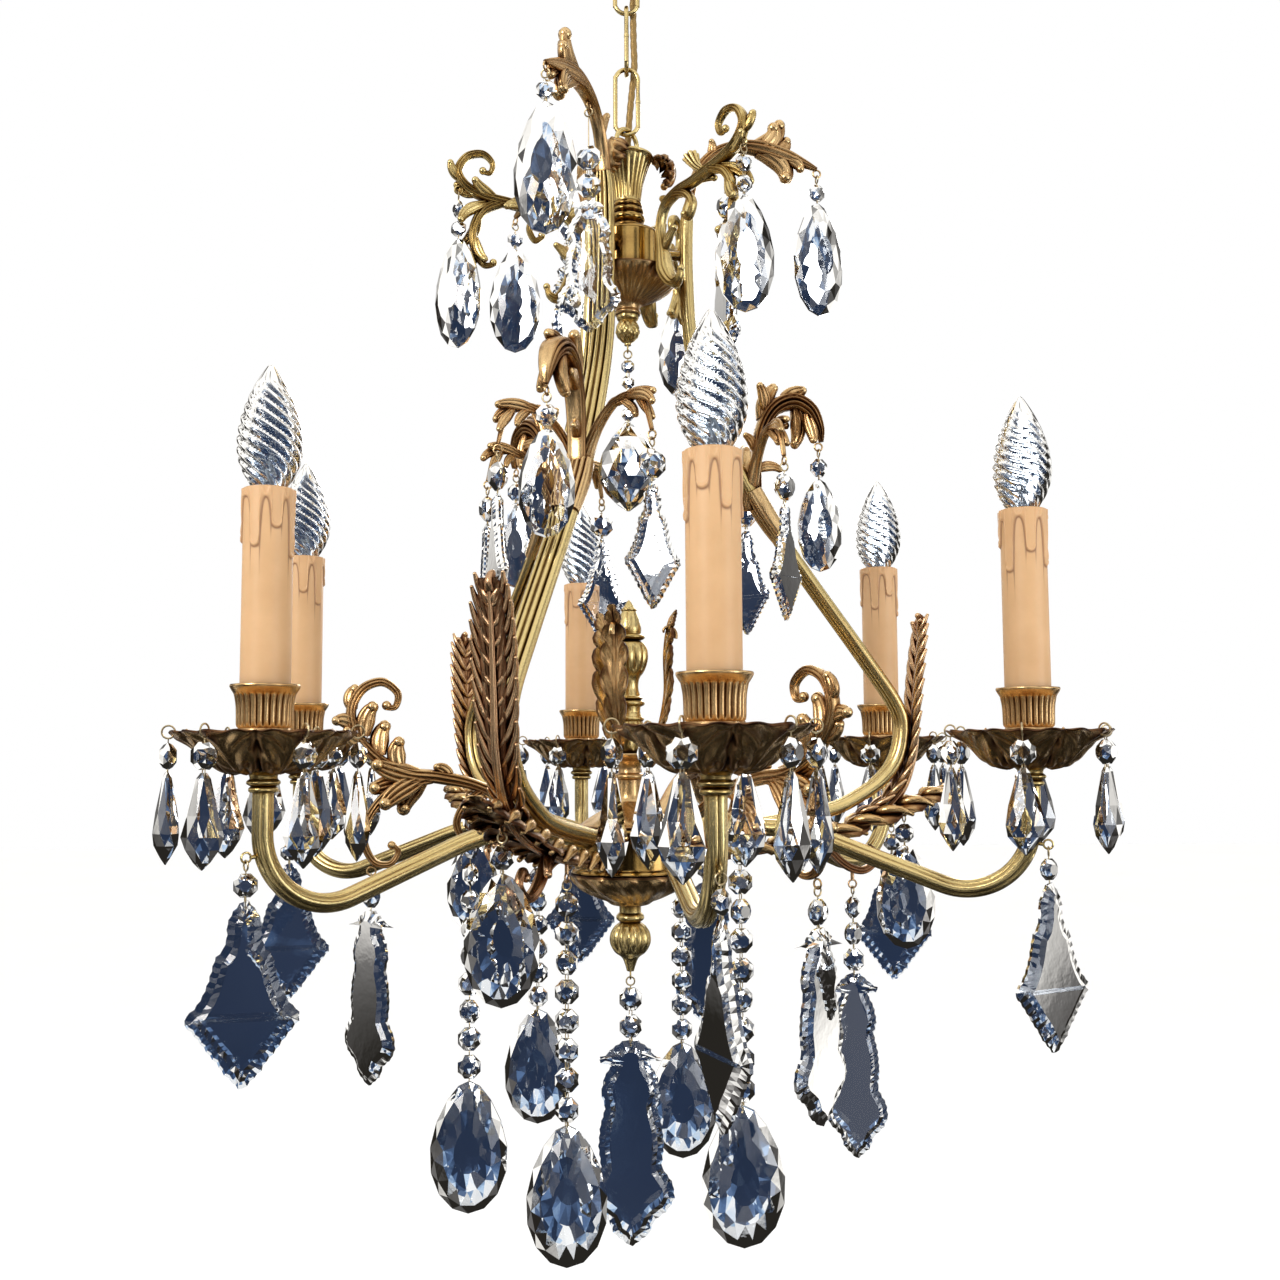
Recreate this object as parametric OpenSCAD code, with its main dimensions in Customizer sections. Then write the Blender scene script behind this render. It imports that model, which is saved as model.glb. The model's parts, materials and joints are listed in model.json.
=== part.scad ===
// Six-light cage chandelier in cast brass, hung with cut crystal.
// Origin: middle of the ceiling plate's top face. +Z is up, so the chandelier hangs below Z = 0.
// Heights written h are measured from the drip pans' rim plane, and z(h) turns them into Z.
// Directions written a are in degrees from -Y, the front, turning towards +X.

/* [Overall] */
// Distance from the ceiling down to the rims of the drip pans
pan_drop = 575; // [575:1:620]
// Distance from the centre line to each candle
arm_reach = 245; // [240:1:260]
// Direction of the first arm, measured from the front
arm_phase = 9.2; // [0:0.1:60]

/* [Ceiling fitting] */
// Diameter of the ceiling canopy at the ceiling
canopy_d = 108; // [100:1:130]
// Height of the ceiling canopy
canopy_h = 64; // [60:1:66]
// Diameter of the steel ceiling plate
plate_d = 84; // [78:1:86]
// Circle on which the three ceiling screws sit
screw_circle_d = 50; // [44:1:54]
// Diameter of the ceiling screw holes
screw_hole_d = 4.5; // [4:0.1:5]

/* [Chain] */
// Outside length of a chain link
link_len = 48; // [44:1:50]
// Outside width of a chain link
link_w = 18; // [16:0.5:20]
// Wire diameter of a chain link
link_wire = 3; // [2.5:0.1:3.4]

/* [Arms and candles] */
// Outside diameter of an arm tube
arm_d = 11; // [10:0.1:11.5]
// Wall of an arm tube
arm_wall = 1.3; // [1:0.1:1.6]
// Radius of a drip pan
pan_r = 48; // [46:0.5:50]
// Outside diameter of a candle sleeve
sleeve_d = 26.5; // [25:0.1:27]
// Height of a candle sleeve's top
sleeve_top = 126; // [115:1:130]
// Height of a bulb's tip
bulb_tip = 194; // [190:1:198]
// Largest diameter of a bulb
bulb_d = 34; // [30:0.5:35]

/* [Crystals] */
// Wire diameter of the fixed eyes
eye_wire = 1.2; // [1:0.1:1.4]
// Wire diameter of the crystal hooks
hook_wire = 1; // [0.8:0.1:1.1]
// Diameter of the octagon beads in the long strands
strand_bead_d = 15; // [13:0.5:16]

/* [Hidden] */
$fn = 48;
gap = 0.1;              // running gap between a hook and its eye, or two links
rod_d = 10;             // threaded rod and nipples
bore_d = rod_d + 0.1;   // what is threaded or slipped onto them
eye_r = 2.6;            // centre-line radius of an eye, and of a hook
stay_phase = arm_phase - 30;
scroll_phase = arm_phase + 30;
arm_r = arm_d / 2;
brass = [0.72, 0.55, 0.25];
patina = [0.42, 0.28, 0.16];
crystal = [0.75, 0.85, 0.95, 0.5];
candle = [0.87, 0.70, 0.52];

// ---- places ----
function z(h) = h - pan_drop;
// Puts children, drawn outward along +X, in direction a.
module around(a) rotate([0, 0, a - 90]) children();
// The same, moved out by r and up to height h.
module at(a, r, h) around(a) translate([r, 0, z(h)]) children();
// Three times round, from direction a.
module by_three(a) for (k = [0:2]) around(a + 120 * k) children();
// At each candle.
module at_candles() for (k = [0:5]) at(arm_phase + 60 * k, arm_reach, 0) children();

// ---- swept castings ----
// A route's points are [distance out, height, half width, half thickness].
function between(a, b, c, d, t) =
    0.5 * (2 * b + (c - a) * t + (2 * a - 5 * b + 4 * c - d) * t * t
           + (3 * b - a - 3 * c + d) * t * t * t);
function smooth(p, n) = let (e = len(p) - 1) concat(
    [for (i = [0:e - 1], k = [0:n - 1])
        between(p[max(i - 1, 0)], p[i], p[i + 1], p[min(i + 2, e)], k / n)],
    [p[e]]);
function heading(p, i) =
    let (d = p[min(i + 1, len(p) - 1)] - p[max(i - 1, 0)]) [d[0], d[1]] / norm([d[0], d[1]]);

// Quads between rings of n points, and a fan over each end.
function ring_faces(rings, n) = concat(
    [[for (k = [0:n - 1]) k]],
    [for (i = [0:rings - 2], k = [0:n - 1])
        let (a = i * n + k, b = i * n + (k + 1) % n) [a, a + n, b + n, b]],
    [[for (k = [n - 1:-1:0]) (rings - 1) * n + k]]);

// A casting swept along a flat route in the XZ plane, with an oval section.
module sweep(route, n = 8, steps = 2) {
    p = smooth(route, steps);
    points = [for (i = [0:len(p) - 1], k = [0:n - 1])
        let (t = heading(p, i), a = 360 * (k + 0.5) / n, up = p[i][3] * sin(a))
        [p[i][0] - t[1] * up, p[i][2] * cos(a), z(p[i][1]) + t[0] * up]];
    polyhedron(points, ring_faces(len(p), n), convexity = 6);
}

// ---- wire fittings ----
// A ring of wire standing in the XZ plane.
module ring(r, wire) rotate([90, 0, 0]) rotate_extrude($fn = 24)
    translate([r, 0]) circle(d = wire);
// A long link standing in the XZ plane, centred on the origin.
module long_link(len, w, wire) {
    r = (w - wire) / 2;
    side = len - w;
    for (end = [0, 1]) mirror([0, 0, end]) translate([0, 0, side / 2]) rotate([90, 0, 0])
        rotate_extrude(angle = 180) translate([r, 0]) circle(d = wire);
    for (x = [-r, r]) translate([x, 0, -side / 2]) cylinder(d = wire, h = side);
}
// A fixed eye whose centre is at the origin.
module eye() ring(eye_r, eye_wire);
// How far below an eye's centre the hook's upper wire hangs.
hook_below_eye = eye_r - (eye_wire + hook_wire) / 2 - gap;
hook_len = 2 * eye_r + hook_wire / 2;

// ---- crystals: each hangs down from the origin, the middle of its hook's upper wire ----
// Half outlines, as [share of the length, share of the half width].
almond_shape = [[0.03, 0.16], [0.28, 0.66], [0.58, 1], [0.84, 0.78], [0.97, 0.3]];
kite_shape = [[0.03, 0.2], [0.56, 1], [0.7, 0.9], [0.98, 0.1]];
ball_shape = [[0.03, 0.2], [0.25, 0.68], [0.55, 1], [0.8, 0.72], [0.97, 0.25]];
plate_shape = [[0, 0.12], [0.08, 0.24], [0.16, 0.2], [0.25, 0.4], [0.38, 0.5], [0.48, 0.8],
    [0.56, 1], [0.63, 0.98], [0.7, 0.72], [0.82, 0.46], [0.9, 0.24], [1, 0.05]];
long_shape = [[0, 0.2], [0.06, 0.5], [0.12, 0.44], [0.22, 0.66], [0.3, 0.6], [0.48, 0.74],
    [0.62, 0.72], [0.72, 1], [0.8, 0.94], [0.88, 0.5], [0.94, 0.4], [1, 0.05]];

module gem(len, w, t, shape, n = 8) {
    points = [for (s = shape, k = [0:n - 1]) let (a = 360 * k / n)
        [s[1] * t / 2 * sin(a), s[1] * w / 2 * cos(a), -s[0] * len]];
    polyhedron(points, ring_faces(len(shape), n), convexity = 2);
}
module plate(len, w, t, shape) {
    half = [for (s = shape) [s[1] * w / 2, -s[0] * len]];
    other = [for (i = [len(half) - 1:-1:0]) [-half[i][0], half[i][1]]];
    rotate([90, 0, 90]) translate([0, 0, -t / 2]) linear_extrude(t) polygon(concat(half, other));
}
// An octagon bead, its two faces square to X, centred on the origin.
module bead(d) rotate([0, 90, 0]) rotate_extrude($fn = 24)
    polygon([[0, -d * 0.29], [d * 0.3, -d * 0.29], [d / 2, -d * 0.06], [d / 2, d * 0.06],
             [d * 0.3, d * 0.29], [0, d * 0.29]]);
module pin(from, to) translate([0, 0, to]) cylinder(d = hook_wire, h = from - to, $fn = 24);
module hook() translate([0, 0, -eye_r]) rotate([0, 0, 90]) ring(eye_r, hook_wire);

// A hook, a length of bare wire, a row of count beads and a wire that ends just inside the
// drop below them. The drop, drawn down from its own top, is the child. Everything below the
// hook is turned about the wire.
bead_space = 1.6;
module hanging(count, d, bare = 0.4, turn = 0) {
    first = hook_len + bare;
    end = first + count * d + max(count - 1, 0) * bead_space + 1;
    hook();
    rotate([0, 0, turn]) {
        for (i = [0:1:count - 1]) translate([0, 0, -first - d / 2 - i * (d + bead_space)]) bead(d);
        pin(-hook_len + 0.4, -end - 2.5);
        translate([0, 0, -end]) children();
    }
}

// ---- ceiling fitting, drawn with its top at Z = 0 ----
plate_t = 3;            // ceiling plate, and its skirt
skirt_h = 13;
screw_down = 10;        // how far below the ceiling the canopy's screws sit
ring_wire = 4;          // the ring under the plate, which carries the chain
ring_r = 8;
link_1_top = z(525);
ring_z = link_1_top - link_wire - gap - ring_wire / 2 + ring_r;
// Along each canopy screw, outward from the middle.
module along_screws() for (k = [0:2]) rotate([0, 90, 30 + 120 * k])
    translate([screw_down, 0, 0]) children();
module ceiling_hook() color([0.55, 0.53, 0.5]) {
    difference() {
        union() {
            translate([0, 0, -plate_t]) cylinder(d = plate_d, h = plate_t);
            translate([0, 0, -plate_t - skirt_h]) difference() {
                cylinder(d = plate_d, h = skirt_h);
                translate([0, 0, -1]) cylinder(d = plate_d - 2 * plate_t, h = skirt_h + 2);
            }
        }
        for (k = [0:2]) rotate([0, 0, 90 + 120 * k])
            translate([screw_circle_d / 2, 0, -plate_t - 1])
                cylinder(d = screw_hole_d, h = plate_t + 2);
        along_screws() translate([0, 0, plate_d / 2 - 5]) cylinder(d = 3.3, h = 6);
    }
    translate([0, 0, ring_z + ring_r + 0.5]) cylinder(d = 7, h = -plate_t - ring_z - ring_r);
    translate([0, 0, ring_z]) rotate([0, 0, 90]) ring(ring_r, ring_wire);
}

canopy_r = canopy_d / 2;
module canopy() color(brass) difference() {
    rotate_extrude($fn = 96) polygon([
        [canopy_r, 0], [canopy_r, -4], [canopy_r - 3, -8], [plate_d / 2 + 4, -20], [34, -38],
        [22, -50], [17, -56], [17, -canopy_h], [13.5, -canopy_h], [13.5, -57], [19.5, -51],
        [32, -38.5], [plate_d / 2 + 2.4, -20], [plate_d / 2 + 2.4, -1.6], [plate_d / 2 + 2.4, 0]]);
    along_screws() translate([0, 0, plate_d / 2]) cylinder(d = 3.4, h = 20);
}
module canopy_screws() color(brass) along_screws() {
    translate([0, 0, plate_d / 2 - 4]) cylinder(d = 3.2, h = canopy_r - plate_d / 2 + 4.2);
    translate([0, 0, canopy_r + 0.2]) cylinder(d = 8, h = 4);
}

// ---- chain, lead and hanging loop ----
link_pitch = link_len - 2 * link_wire - gap;
module chain_link(k) color(brass)
    translate([0, 0, link_1_top - link_len / 2 - (k - 1) * link_pitch])
        rotate([0, 0, k % 2 == 1 ? 0 : 90]) long_link(link_len, link_w, link_wire);

loop_wire = 3.2;
loop_r = 9.4;
loop_leg = 12;
loop_gap = 0.2;         // the gap under the last link, where the loop stands askew
rod_foot_h = 262;       // the loop's threaded rod ends inside the top finial
loop_top = link_1_top - 2 * link_pitch - link_len + link_wire + loop_gap + loop_wire;
module hanging_loop() color(brass) {
    translate([0, 0, loop_top - loop_wire / 2 - loop_r]) rotate([0, 0, 45]) {
        rotate([90, 0, 0]) rotate_extrude(angle = 180) translate([loop_r, 0]) circle(d = loop_wire);
        for (x = [-loop_r, loop_r]) translate([x, 0, -loop_leg])
            cylinder(d = loop_wire, h = loop_leg);
        translate([-loop_r - loop_wire / 2, -2.5, -loop_leg - 2])
            cube([2 * loop_r + loop_wire, 5, 3]);
    }
    translate([0, 0, z(rod_foot_h)])
        cylinder(d = rod_d, h = loop_top - loop_wire / 2 - loop_r - loop_leg - z(rod_foot_h));
}

cord_d = 4.6;
// The lead runs from the ceiling down beside the links and into the cup: [x, y, height].
cord_route = [[9, 25, 571.9], [9, 24, 553], [11, 16, 544], [10.5, 8.5, 530], [9, 5.6, 512],
    [4.8, 6, 494], [4.6, 4.6, 478], [4.8, 5.2, 462], [5.2, 5.8, 444], [3.6, 6.4, 428],
    [2, 7.4, 412], [1, 8.6, 398], [0.5, 9.2, 386], [0, 9.2, 374]];
module power_cord() color([0.5, 0.38, 0.2]) {
    p = smooth(cord_route, 4);
    n = 8;
    points = [for (i = [0:len(p) - 1]) let (
            d = p[min(i + 1, len(p) - 1)] - p[max(i - 1, 0)],
            t = d / norm(d), u = cross(t, [0, 1, 0]) / norm(cross(t, [0, 1, 0])), v = cross(t, u))
        for (k = [0:n - 1]) let (a = 360 * k / n)
        [p[i][0], p[i][1], z(p[i][2])] + cord_d / 2 * (cos(a) * u + sin(a) * v)];
    polyhedron(points, ring_faces(len(p), n), convexity = 4);
}

// ---- turned column above and below the cage ----
// A turned piece from [radius, height] points, bored for the rod.
module turned(profile) rotate_extrude($fn = 64)
    polygon([for (p = profile) [p[0], z(p[1])]]);

module top_cup() {
    color(brass) turned([[bore_d / 2, 347.2], [9, 347.2], [10, 355], [12.5, 366], [16.5, 377],
        [17, 379], [15.4, 379], [11.2, 366.5], [8.4, 357], [bore_d / 2, 355]]);
    color(patina) by_three(stay_phase) sweep([[15.6, 373, 7, 1], [21, 377.5, 9, 1],
        [27, 376, 8, 1], [31, 371, 3, 1]], 6);
}
module top_hub() color(brass) {
    turned([[bore_d / 2, 298], [24, 298], [24, 300.4], [21, 300.4], [21, 325.6], [17, 328.5],
        [9.6, 328.5], [10.4, 332], [9, 334], [11.4, 337], [9, 340], [10, 343], [9, 347],
        [bore_d / 2, 347]]);
    for (k = [0:2]) at(stay_phase + 120 * k, 16, 314) rotate([0, 90, 0]) cylinder(d = 6, h = 18.8);
}
module top_dome() color(patina) turned([[bore_d / 2, 272], [8, 272], [7.4, 276], [10, 279.5],
    [20, 284.5], [29, 290], [33, 295], [34, 297.8], [30, 297.8], [27, 292.4], [18.6, 287.4],
    [9.6, 284], [9.6, 297.8], [bore_d / 2, 297.8]]);
module top_finial() color(brass) {
    turned([[0, 252], [2.2, 252], [2.4, 254], [5, 255.5], [7.6, 261], [6.6, 266], [6, 269],
        [7.2, 271.8], [bore_d / 2, 271.8], [bore_d / 2, 261.5], [0, 261.5]]);
    around(0) translate([0, 0, z(250)]) eye();
}

centre_stem_shape = [[32, -59.8], [31, -57], [22, -51.5], [13, -46.5],
    [8.5, -43], [7.2, -34], [7.2, -30], [9.4, -27], [7.4, -23], [9, -19], [15.6, -15.4],
    [16, -13.2], [bore_d / 2, -13.2], [bore_d / 2, -44.5], [11.6, -48.8], [20.8, -54], [29, -59.8]];
module centre_stem() color(brass) turned(centre_stem_shape);
module column_leaves() color(patina) by_three(stay_phase) sweep([[12.6, -11.4, 4, 1.6],
    [20, 0, 6, 1.6], [25, 24, 8, 1.6], [24, 52, 7, 1.6], [27, 72, 4, 1.6], [31, 80, 1.4, 1]]);
module centre_urn() color(brass) turned([[bore_d / 2, -13], [9.6, -13], [11.6, -4], [11.2, 4],
    [7.4, 9], [7, 16], [9.8, 19], [7, 22.5], [6.4, 32], [9.4, 37], [12.4, 46], [11.6, 55],
    [6.2, 59], [8.4, 62], [7, 67], [5.4, 75], [2.2, 82.5], [0, 85], [0, 38], [bore_d / 2, 38]]);
module centre_rod() color([0.6, 0.6, 0.6])
    translate([0, 0, z(-132)]) cylinder(d = rod_d, h = 132 + 37);
module lower_hub() color(brass) difference() {
    turned([[bore_d / 2, -88], [37, -88], [37, -85.6], [34.6, -84.4], [34.6, -64], [37, -62.6],
        [37, -60], [bore_d / 2, -60], [bore_d / 2, -63], [30, -63], [30, -85], [bore_d / 2, -85]]);
    for (k = [0:5]) at(arm_phase + 60 * k, 25, hub_h(25)) rotate([0, 90 - arm_rise, 0])
        cylinder(d = arm_d + 0.1, h = 20);
}
module lower_dish() color(patina) turned([[bore_d / 2, -108.4], [9, -108.4], [14, -106],
    [27, -100.5], [35, -94.5], [38, -90], [38, -88.2], [bore_d / 2, -88.2]]);
module bottom_finial() color(brass) {
    turned([[0, -149], [2.2, -149], [3.6, -143], [9, -138], [13, -129], [10.5, -121.5],
        [6.4, -118], [8.6, -114.5], [6.8, -108.6], [bore_d / 2, -108.6], [bore_d / 2, -132.4],
        [0, -132.4]]);
    around(0) translate([0, 0, z(-151.2)]) eye();
}

// ---- arms: straight and round stretches that meet in line ----
arm_rise = 12;          // angle at which an arm leaves the hub
arm_fall = 20;          // angle of its straight fall
arm_bow_r = 130;        // radius of the bow over the hub
arm_turn_r = 38;        // radius of the turn up to the candle
arm_low_h = -92;        // lowest point of the centre line
turn_x = arm_reach - arm_turn_r;
turn_h = arm_low_h + arm_turn_r;
fall_x = 130;           // where the bow ends and the straight fall begins
turn_in = [turn_x - arm_turn_r * sin(arm_fall), turn_h - arm_turn_r * cos(arm_fall)];
fall_h = turn_in[1] + (turn_in[0] - fall_x) * tan(arm_fall);
bow = [fall_x - arm_bow_r * sin(arm_fall), fall_h - arm_bow_r * cos(arm_fall)];
bow_in = [bow[0] - arm_bow_r * sin(arm_rise), bow[1] + arm_bow_r * cos(arm_rise)];
arm_top_h = -22;
function hub_h(r) = bow_in[1] - (bow_in[0] - r) * tan(arm_rise);

// Centre line of an arm, from start_r out to the candle.
function arc(c, r, from, to, steps) =
    [for (i = [0:steps]) let (a = from + (to - from) * i / steps) c + r * [cos(a), sin(a)]];
function arm_line(start_r, end_h) = concat([[start_r, hub_h(start_r)]],
    arc(bow, arm_bow_r, 90 + arm_rise, 90 - arm_fall, 5),
    arc([turn_x, turn_h], arm_turn_r, -90 - arm_fall, 0, 9),
    [[arm_reach, end_h]]);
function arm_ring(p, i, r, n) = [for (k = [0:n - 1])
    let (t = heading(p, i), a = 360 * k / n)
    [p[i][0] - t[1] * r * sin(a), r * cos(a), z(p[i][1]) + t[0] * r * sin(a)]];
// A bent tube: the outer rings, then the inner ones, joined by a flat ring at each end.
module bent_tube(p, r_out, r_in, n = 10) {
    m = len(p);
    function quads(at, turn) = [for (i = [0:m - 2], k = [0:n - 1])
        let (a = at + i * n + k, b = at + i * n + (k + 1) % n)
        turn ? [a, b, b + n, a + n] : [a, a + n, b + n, b]];
    function end_ring(at, turn) = [for (k = [0:n - 1])
        let (a = at + k, b = at + (k + 1) % n)
        turn ? [a, a + m * n, b + m * n, b] : [a, b, b + m * n, a + m * n]];
    polyhedron(concat([for (i = [0:m - 1]) each arm_ring(p, i, r_out, n)],
                      [for (i = [0:m - 1]) each arm_ring(p, i, r_in, n)]),
        concat(quads(0, false), quads(m * n, true), end_ring(0, false),
               end_ring((m - 1) * n, true)), convexity = 6);
}
module bent_rod(p, r, n = 6) polyhedron([for (i = [0:len(p) - 1]) each arm_ring(p, i, r, n)],
    ring_faces(len(p), n), convexity = 4);

arm_hub_r = 33;
module arm(k) color(brass) around(arm_phase + 60 * (k - 1)) {
    bent_tube(arm_line(arm_hub_r, arm_top_h - 1), arm_r, arm_r - arm_wall);
    translate([arm_reach, 0, z(0)]) rotate_extrude() polygon([[4.6, -33], [7.4, -33],
        [8.6, -30.5], [7.2, -28], [8.2, -25.5], [9.4, -22], [4.6, -22]]);
    translate([arm_pendant_r, 0, z(arm_eye_h)]) eye();
    translate([turn_x + arm_turn_r + 3.6, 0, z(arm_eye_h)]) rotate([0, 90, 0])
        cylinder(d = 2.4, h = arm_pendant_r - turn_x - arm_turn_r - 5.6);
}
module arm_wires() color([0.85, 0.85, 0.8]) for (k = [0:5]) around(arm_phase + 60 * k)
    bent_rod(arm_line(arm_hub_r + 0.5, arm_top_h - 2), 2.2);

// ---- cage and castings, with routes in the plane of each ----
stay_route = [[42, 352, 5, 3], [40, 338, 8, 4.4], [39.5, 300, 8, 4.5], [43, 250, 8, 4.5],
    [58, 204, 8, 4.5], [79, 160, 8, 4.5], [110, 113, 8, 4.5], [155, 51, 8, 4.5],
    [178, 17, 8, 4.5], [181, -3, 8, 4.5], [173, -24, 8, 4.5], [152, -41, 8, 4.5],
    [120, -53, 8, 4.5], [35.2, -66, 8, 4.5]];
module stays() color(brass) by_three(stay_phase) sweep(stay_route);

module crown_tridents() color(patina) by_three(stay_phase) {
    sweep([[42, 352.4, 5, 3], [46, 370, 5, 4], [58, 386, 5, 4], [76, 392, 6, 4], [96, 389, 9, 3.4],
        [115, 383, 6, 3], [130, 381, 2, 2]]);
    sweep([[82, 391, 4, 3], [95, 400, 7, 3], [106, 408, 5, 2.5], [112, 412, 1.5, 1.5]], 6);
    sweep([[86, 390, 4, 3], [98, 381, 6, 3], [107, 374, 4, 2.5], [112, 369, 1.5, 1.5]], 6);
    translate([130, 0, z(377)]) eye();
    translate([66, 0, z(383.6)]) eye();
}
module crown_scrolls() color(brass) by_three(scroll_phase) {
    sweep([[52, 286, 2.5, 2], [48, 282, 4, 3], [42.4, 284.4, 5, 4], [38.2, 292, 6, 4.6],
        [36.4, 301, 5, 4], [34.4, 313, 4, 3.2], [34.2, 325, 4, 3.2], [39.4, 334, 4, 3.4],
        [51, 339, 5, 3.6], [66, 340.4, 5, 4], [79, 343, 5, 4], [93, 346, 5, 4],
        [105, 352, 5, 4], [110.5, 362, 4.5, 3.5], [105, 372, 4, 3], [94, 374, 3.5, 3],
        [88, 366, 3, 2.5]]);
    sweep([[84, 343, 4, 3], [97, 333, 4, 3], [101, 317, 3.5, 3], [97, 301, 3, 2.5],
        [88, 293, 2.5, 2.5]], 6);
    sweep([[51, 338, 4, 3], [60, 334, 4, 3], [64.6, 326, 3, 2.5], [61, 318, 2.5, 2.5]], 6);
    sweep([[77, 342, 3, 3], [70, 348, 3.5, 3], [63, 356, 5, 4]], 6);
    translate([110, 0, z(349.5)]) eye();
}
module leaf_sprays() color(patina) by_three(stay_phase) {
    sweep([[84.4, 160, 6, 3], [87, 186, 9, 3.5], [95, 214, 10, 3], [106, 231, 9, 3],
        [118, 229, 8, 3], [125, 212, 6, 2.5], [128, 192, 2, 1.5]]);
    translate([128, 0, z(189)]) eye();
    for (side = [-1, 1]) translate([80, 0, 0]) rotate([0, 0, 78 * side]) {
        sweep([[2, 158, 4, 3], [12, 178, 7, 3], [24, 191, 7, 2.5], [37, 192, 6, 2.5],
            [47, 183, 4, 2], [50, 171, 1.5, 1.5]], 6);
        translate([50, 0, z(168)]) eye();
    }
}
// An eye on a short pin that reaches up into the casting above it.
module hung_eye() {
    eye();
    translate([0, 0, eye_r - 0.3]) cylinder(d = 2.4, h = 9);
}
module acanthus_leaves() color(patina) {
    by_three(stay_phase) {
        sweep([[33.6, -78, 9, 3.5], [62, -76, 14, 3], [98, -71, 16, 3], [130, -64, 16, 3],
            [160, -54, 15, 3], [186, -45, 11, 3], [203, -39, 6, 2.5], [211, -35, 2, 1.5]]);
        sweep([[150, -54, 8, 3], [170, -44, 12, 3], [184, -24, 12.5, 3], [189, 0, 12, 3],
            [191, 22, 12, 3], [193.6, 46, 10, 3], [196, 64, 7, 2.5], [198, 78, 2, 1.5]]);
        sweep([[122, -66, 4, 3], [140, -85, 4, 3], [155, -90, 3.5, 3], [163, -82, 3, 2.5],
            [157, -74, 2.5, 2]], 6);
        translate([leaf_pendant_r, 0, z(leaf_eye_h)]) eye();
        translate([100, 0, z(-83)]) hung_eye();
    }
    at(stay_phase + 120, 146, -98) hung_eye();
}
module lower_scrolls() color(brass) by_three(scroll_phase) {
    sweep([[35.2, -68, 6, 4], [60, -52, 6, 4], [93, -34, 6, 4], [125, -27, 7, 4],
        [150, -22, 8, 4], [168, -8, 6, 4], [174, 8, 5, 4], [168, 24, 5, 3.5], [153, 31, 4, 3],
        [144, 22, 3, 2.5]]);
    sweep([[138, -26, 5, 4], [158, -42, 5, 4], [167, -62, 4.5, 3.5], [160, -79, 4, 3],
        [148, -79, 3, 2.5], [145, -68, 2.5, 2.5]], 6);
    translate([scroll_pendant_r, 0, z(scroll_eye_h)]) eye();
    translate([100, 0, z(-39)]) eye();
}

// ---- candles, drawn with the drip pan's rim at height 0 on the arm's axis ----
module revolved(profile) rotate_extrude($fn = 64) polygon(profile);
drop_hole_r = pan_r - 3.5;
module bobeches() color(patina) at_candles() difference() {
    revolved([[bore_d / 2, -21.8], [12, -21.8], [26, -17.5], [38, -10], [pan_r, -2], [pan_r, 0],
        [pan_r - 1.6, 0], [37, -7.6], [25, -15], [11, -18.8], [bore_d / 2, -18.8]]);
    for (k = [0:5]) rotate([0, 0, 30 + 60 * k]) translate([drop_hole_r, 0, -8])
        cylinder(d = 2.6, h = 10, $fn = 24);
}
module candle_cups() color(brass) at_candles() revolved([[bore_d / 2, -18.6], [11, -18.6],
    [12.5, -10], [12.6, -3], [14.9, 0], [15.4, 14], [17.8, 21.6], [17.8, 23], [16.2, 23],
    [sleeve_d / 2 + 0.15, 16], [sleeve_d / 2 + 0.15, 2], [9, 1.8], [9, -15.6],
    [bore_d / 2, -15.6]]);
module candle_sleeves() color(candle) at_candles() translate([0, 0, 2.2]) difference() {
    cylinder(d = sleeve_d, h = sleeve_top - 2.2, $fn = 64);
    translate([0, 0, -1]) cylinder(d = sleeve_d - 2.4, h = sleeve_top, $fn = 64);
}
holder_top = sleeve_top - 4;
module lamp_holders() color([0.93, 0.92, 0.88]) at_candles() {
    translate([0, 0, -21.6]) cylinder(d = rod_d, h = 104);
    translate([0, 0, 82]) difference() {
        cylinder(d = sleeve_d - 3, h = holder_top - 82, $fn = 64);
        translate([0, 0, 8]) cylinder(d = 14.2, h = 60, $fn = 64);
    }
}
module bulbs() color([0.9, 0.95, 1, 0.5]) at_candles() revolved([[0, holder_top - 26],
    [4, holder_top - 26], [6.9, holder_top - 22], [6.9, holder_top + 1], [8.6, holder_top + 5],
    [bulb_d / 2 - 2.4, holder_top + 15], [bulb_d / 2, holder_top + 28],
    [bulb_d / 2 - 1.4, holder_top + 40], [bulb_d / 2 - 5.6, holder_top + 54],
    [5.4, bulb_tip - 6], [1.8, bulb_tip - 1], [0, bulb_tip]]);
module bobeche_drops() color(crystal) at_candles()
    for (k = [0:5]) rotate([0, 0, 30 + 60 * k]) translate([pan_r - 0.2, 0, -1.6]) {
        ring(3.3, hook_wire);
        translate([0, 0, -12.4]) bead(14.6);
        pin(-3, -24);
        translate([0, 0, -20.4]) gem(47, 22, 14, kite_shape);
    }

// ---- crystals that hang still on the castings ----
module from_eye() translate([0, 0, -hook_below_eye]) children();
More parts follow.
